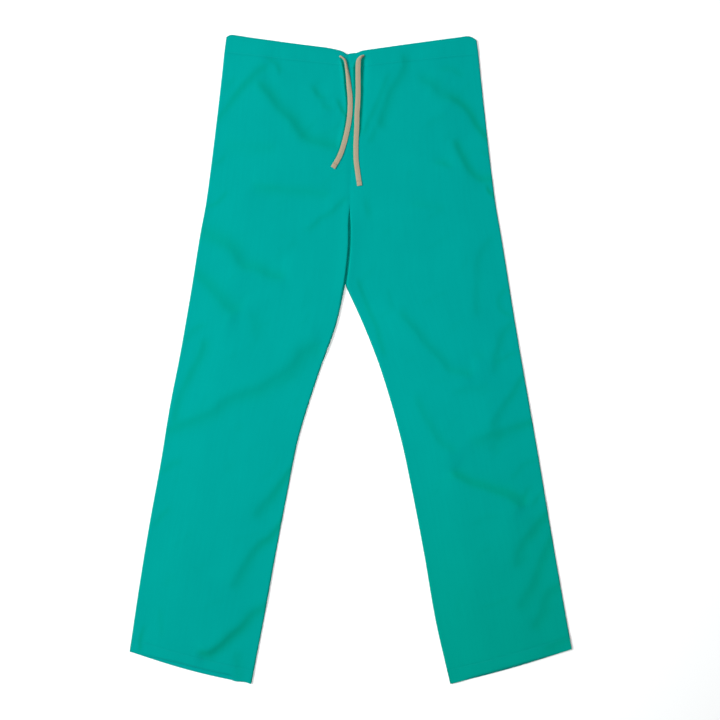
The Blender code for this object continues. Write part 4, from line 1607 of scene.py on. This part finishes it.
@dataclass
class Sewing:
    """The rows of stitches on the casings, hems and buttonhole slits."""

    thread: bpy.types.Material
    row: StitchRow = field(default_factory=StitchRow)
    satin: StitchRow = field(default_factory=lambda: StitchRow(length=1.7, thick=0.4))
    margin: float = 5.0  # from the sides to the first stitch
    satin_margin: float = 0.95  # from the slit's side to the middle of the stitches round it
    proud: float = 0.05  # how far a stitch's middle stands over the cloth

    POINTS = 240  # along the line that a row follows
    ALONG, ACROSS = 21, 5  # the gaps between the stitches beside the slit, and at each end of it
    FEEL = (1.25, 1.1)  # how much further out the cloth's height is read, beside the slit and past its ends

    def seam_row(self, part: TurnedEdge) -> bpy.types.Object:
        """Stitches one casing or hem.

        Args:
            part: the casing or hem, whose own rule puts the row in its groove.

        Returns:
            The row.
        """
        margin = self.margin / part.half.width(part.edge)
        across = np.linspace(margin, 1 - margin, self.POINTS)
        line, _ = part.rule(across, np.full(across.shape, part.stitch_share))
        line[:, 2] += self.proud * MM if part.layer is Layer.FRONT else -self.proud * MM
        return as_piece(f"stitches_{part.KIND}_{part.node}", self.row.along(line), self.thread)

    def buttonhole(self, casing: Casing, surface: Surface) -> bpy.types.Object:
        """Works the satin stitches round a buttonhole slit.

        Args:
            casing: the casing with the slit.
            surface: the casing's outer face.

        Returns:
            The ring of stitches.
        """
        x, down = casing.slit
        mesh = bmesh.new()
        wide = casing.slit_width / 2 + self.satin_margin
        long = casing.slit_length / 2 + self.satin_margin
        along = [long - 2 * long * i / self.ALONG for i in range(self.ALONG + 1)]
        across = [-wide + 2 * wide * i / self.ACROSS for i in range(self.ACROSS + 1)]
        ring = [(side * wide, dy) for side in (-1, 1) for dy in along]
        ring += [(dx, end * long) for end in (-1, 1) for dx in across]
        for dx, dy in ring:
            height = surface.height(x + dx * self.FEEL[0], down + dy * self.FEEL[1])
            if height is None:
                continue
            outward = Vector((dx, -dy if abs(dy) > long - TINY else 0.0, 0.0))
            place = in_metres(np.array([x + dx]), np.array([down + dy]), np.array([height + self.proud]))[0]
            self.satin.add_stitch(mesh, Vector(place), outward.normalized())
        return as_piece(f"buttonhole_{casing.side}", mesh, self.thread)


@dataclass(frozen=True)
class SoftLight:
    """A square soft light."""

    name: str
    place: tuple[float, float, float]  # where it hangs, in metres
    aim: tuple[float, float]  # the place on the floor that it points at, as x and y
    size: float  # its side, in metres
    spread: float  # how wide its beam is, in degrees, as a softbox's grid narrows it
    power: float  # in watts
    colour: str

    def hang(self) -> None:
        """Hangs the light in the scene."""
        data = bpy.data.lights.new(self.name, "AREA")
        data.shape = "SQUARE"
        data.size = self.size
        data.spread = math.radians(self.spread)
        data.energy = self.power
        data.color = linear(self.colour)[:3]
        lamp = bpy.data.objects.new(self.name, data)
        lamp.location = self.place
        way = Vector((*self.aim, 0.0)) - Vector(self.place)
        lamp.rotation_euler = way.to_track_quat("-Z", "Y").to_euler()
        bpy.context.collection.objects.link(lamp)


@dataclass(frozen=True)
class Studio:
    """The floor, lights and camera: straight above the trousers, lit softly from the left."""

    coat: bpy.types.Material
    key: SoftLight = SoftLight("key", (-3.65, 0.8, 3.3), (0.0, 0.0), 1.8, 180.0, 266.0, "#f8fcff")
    top: SoftLight = SoftLight("top", (0.0, 0.1, 3.3), (0.0, 0.1), 1.2, 80.0, 11.0, "#ffffff")
    sky: float = 0.25
    floor_half: float = 5.0
    floor_drop: float = 0.4  # in millimetres, under the cloth
    centre: tuple[float, float] = (0.01665, -0.002)
    height: float = 3.0
    frame: float = 1.296
    sensor: float = 36.0

    def floor(self) -> None:
        """Lays the pale floor just under the cloth."""
        mesh = bmesh.new()
        bmesh.ops.create_grid(mesh, x_segments=2, y_segments=2, size=self.floor_half)
        bmesh.ops.translate(mesh, verts=mesh.verts, vec=UP * (-self.floor_drop * MM))
        as_object("floor", mesh, self.coat)

    def camera(self) -> None:
        """Hangs the camera straight above, with the waist at the top of the picture."""
        data = bpy.data.cameras.new("camera")
        data.sensor_width = self.sensor
        data.lens = self.sensor * self.height / self.frame
        camera = bpy.data.objects.new("camera", data)
        camera.location = (*self.centre, self.height)
        bpy.context.collection.objects.link(camera)
        bpy.context.scene.camera = camera

    def build(self) -> None:
        """Sets up the whole studio."""
        self.floor()
        self.camera()
        self.key.hang()
        self.top.hang()
        world = bpy.data.worlds.new("studio")
        world.use_nodes = True
        background = world.node_tree.nodes["Background"]
        background.inputs["Color"].default_value = linear("#ffffff")
        background.inputs["Strength"].default_value = self.sky
        bpy.context.scene.world = world
        bpy.context.scene.view_settings.view_transform = "Standard"


# From the slit to the tip
RIGHT_ROUTE = (
    (-19.2, 39.3), (-16.9, 40.9), (-13.8, 43.3), (-11.3, 45.9), (-9.8, 49.5), (-8.9, 53), (-8.1, 58),
    (-7, 64), (-5.3, 75), (-3.9, 86), (-3, 96), (-1.7, 107), (-1.1, 118), (-1.1, 129), (-1.4, 140),
    (-2.4, 150), (-4, 161), (-6.2, 172), (-8.7, 183), (-11.4, 194), (-14.4, 204), (-18.3, 215),
    (-23.7, 226), (-32, 240),
)  # fmt: skip
LEFT_ROUTE = (
    (22.7, 38.4), (19.3, 40.3), (16.6, 43.2), (14.8, 46), (13.9, 49.5), (13.4, 54), (13.2, 60),
    (13.1, 67), (13.2, 85), (13.3, 100), (13, 115), (12.3, 129), (11.5, 140), (11.2, 150), (11, 162),
    (10.5, 173), (9.9, 183), (9.4, 194), (9.2, 204), (9.3, 216), (9.6, 226), (10.9, 237), (12.4, 248),
    (14, 259), (16, 272),
)  # fmt: skip
RIGHT_SLIT = (-17.7, 40.2)
LEFT_SLIT = (21.2, 39.9)
# From the centre, and how far the waist's edge turns down there, over the drawstring
RIGHT_TURN_DOWN = ((0, 8.6), (7, 4.0), (15, 2.0), (24, 1.0), (38, 0.0))
LEFT_TURN_DOWN = ((0, 3.0), (6, 2.2), (12, 2.2), (17, 2.6), (22, 1.4), (27, 0.3), (36, 0.0))


def make_halves() -> tuple[Half, Half]:
    """Describes both halves of the trousers.

    Returns:
        The wearer's right half and the left one.
    """
    right = Half(
        side=Side.RIGHT,
        sections=RIGHT_SECTIONS,
        creases=RIGHT_CREASES,
        turn_down=RIGHT_TURN_DOWN,
        corner_ease=12.0,
        hem_lag=8.4,
        hem_ripple=1.1,
        inseam_roll=0.95,
        hem_shade=0.15,
        seed=1.7,
    )
    left = Half(
        side=Side.LEFT,
        sections=LEFT_SECTIONS,
        creases=LEFT_CREASES,
        turn_down=LEFT_TURN_DOWN,
        corner_ease=20.0,
        hem_lag=2.0,
        hem_ripple=0.0,
        inseam_roll=0.5,
        hem_shade=0.75,
        seed=6.3,
    )
    return right, left


def main() -> None:
    """Builds the studio, then each half of the trousers, then the tape ends."""
    logging.basicConfig(level=logging.INFO, format="%(name)s: %(message)s")
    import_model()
    Studio(PaintedBoard().material()).build()
    poplin = Poplin().material()
    # Painted light: the teal thread is lighter than the cloth, so that the shade on its stitches does not
    # darken the stitch rows
    sewing = Sewing(SewingThread("Spun polyester thread, teal", "#009a92").material())
    tan_thread = SewingThread("Spun polyester thread, tan", "#8d7458").material()
    twill = TwillTape().material()
    tapes = (
        Drawstring(Side.RIGHT, RIGHT_SLIT, RIGHT_ROUTE, 80.0, twill, tan_thread),
        Drawstring(Side.LEFT, LEFT_SLIT, LEFT_ROUTE, 18.0, twill, tan_thread),
    )
    under_tape, slit_casings = [], []
    for half, tape in zip(make_halves(), tapes):
        for layer in (Layer.BACK, Layer.FRONT):
            panel = Panel(half, layer, poplin)
            casing = Casing(half, layer, poplin, slit=tape.slit if layer is Layer.FRONT else None)
            hem = Hem(half, layer, poplin)
            built = [part.build() for part in (panel, casing, hem)]
            sewing.seam_row(casing)
            sewing.seam_row(hem)
            if layer is Layer.FRONT:
                under_tape += built[:2]
                slit_casings.append(casing)
    bpy.context.view_layer.update()
    surface = Surface(under_tape)
    for casing in slit_casings:
        sewing.buttonhole(casing, surface)
    for tape in tapes:
        tape.build(surface)


if __name__ == "__main__":
    main()
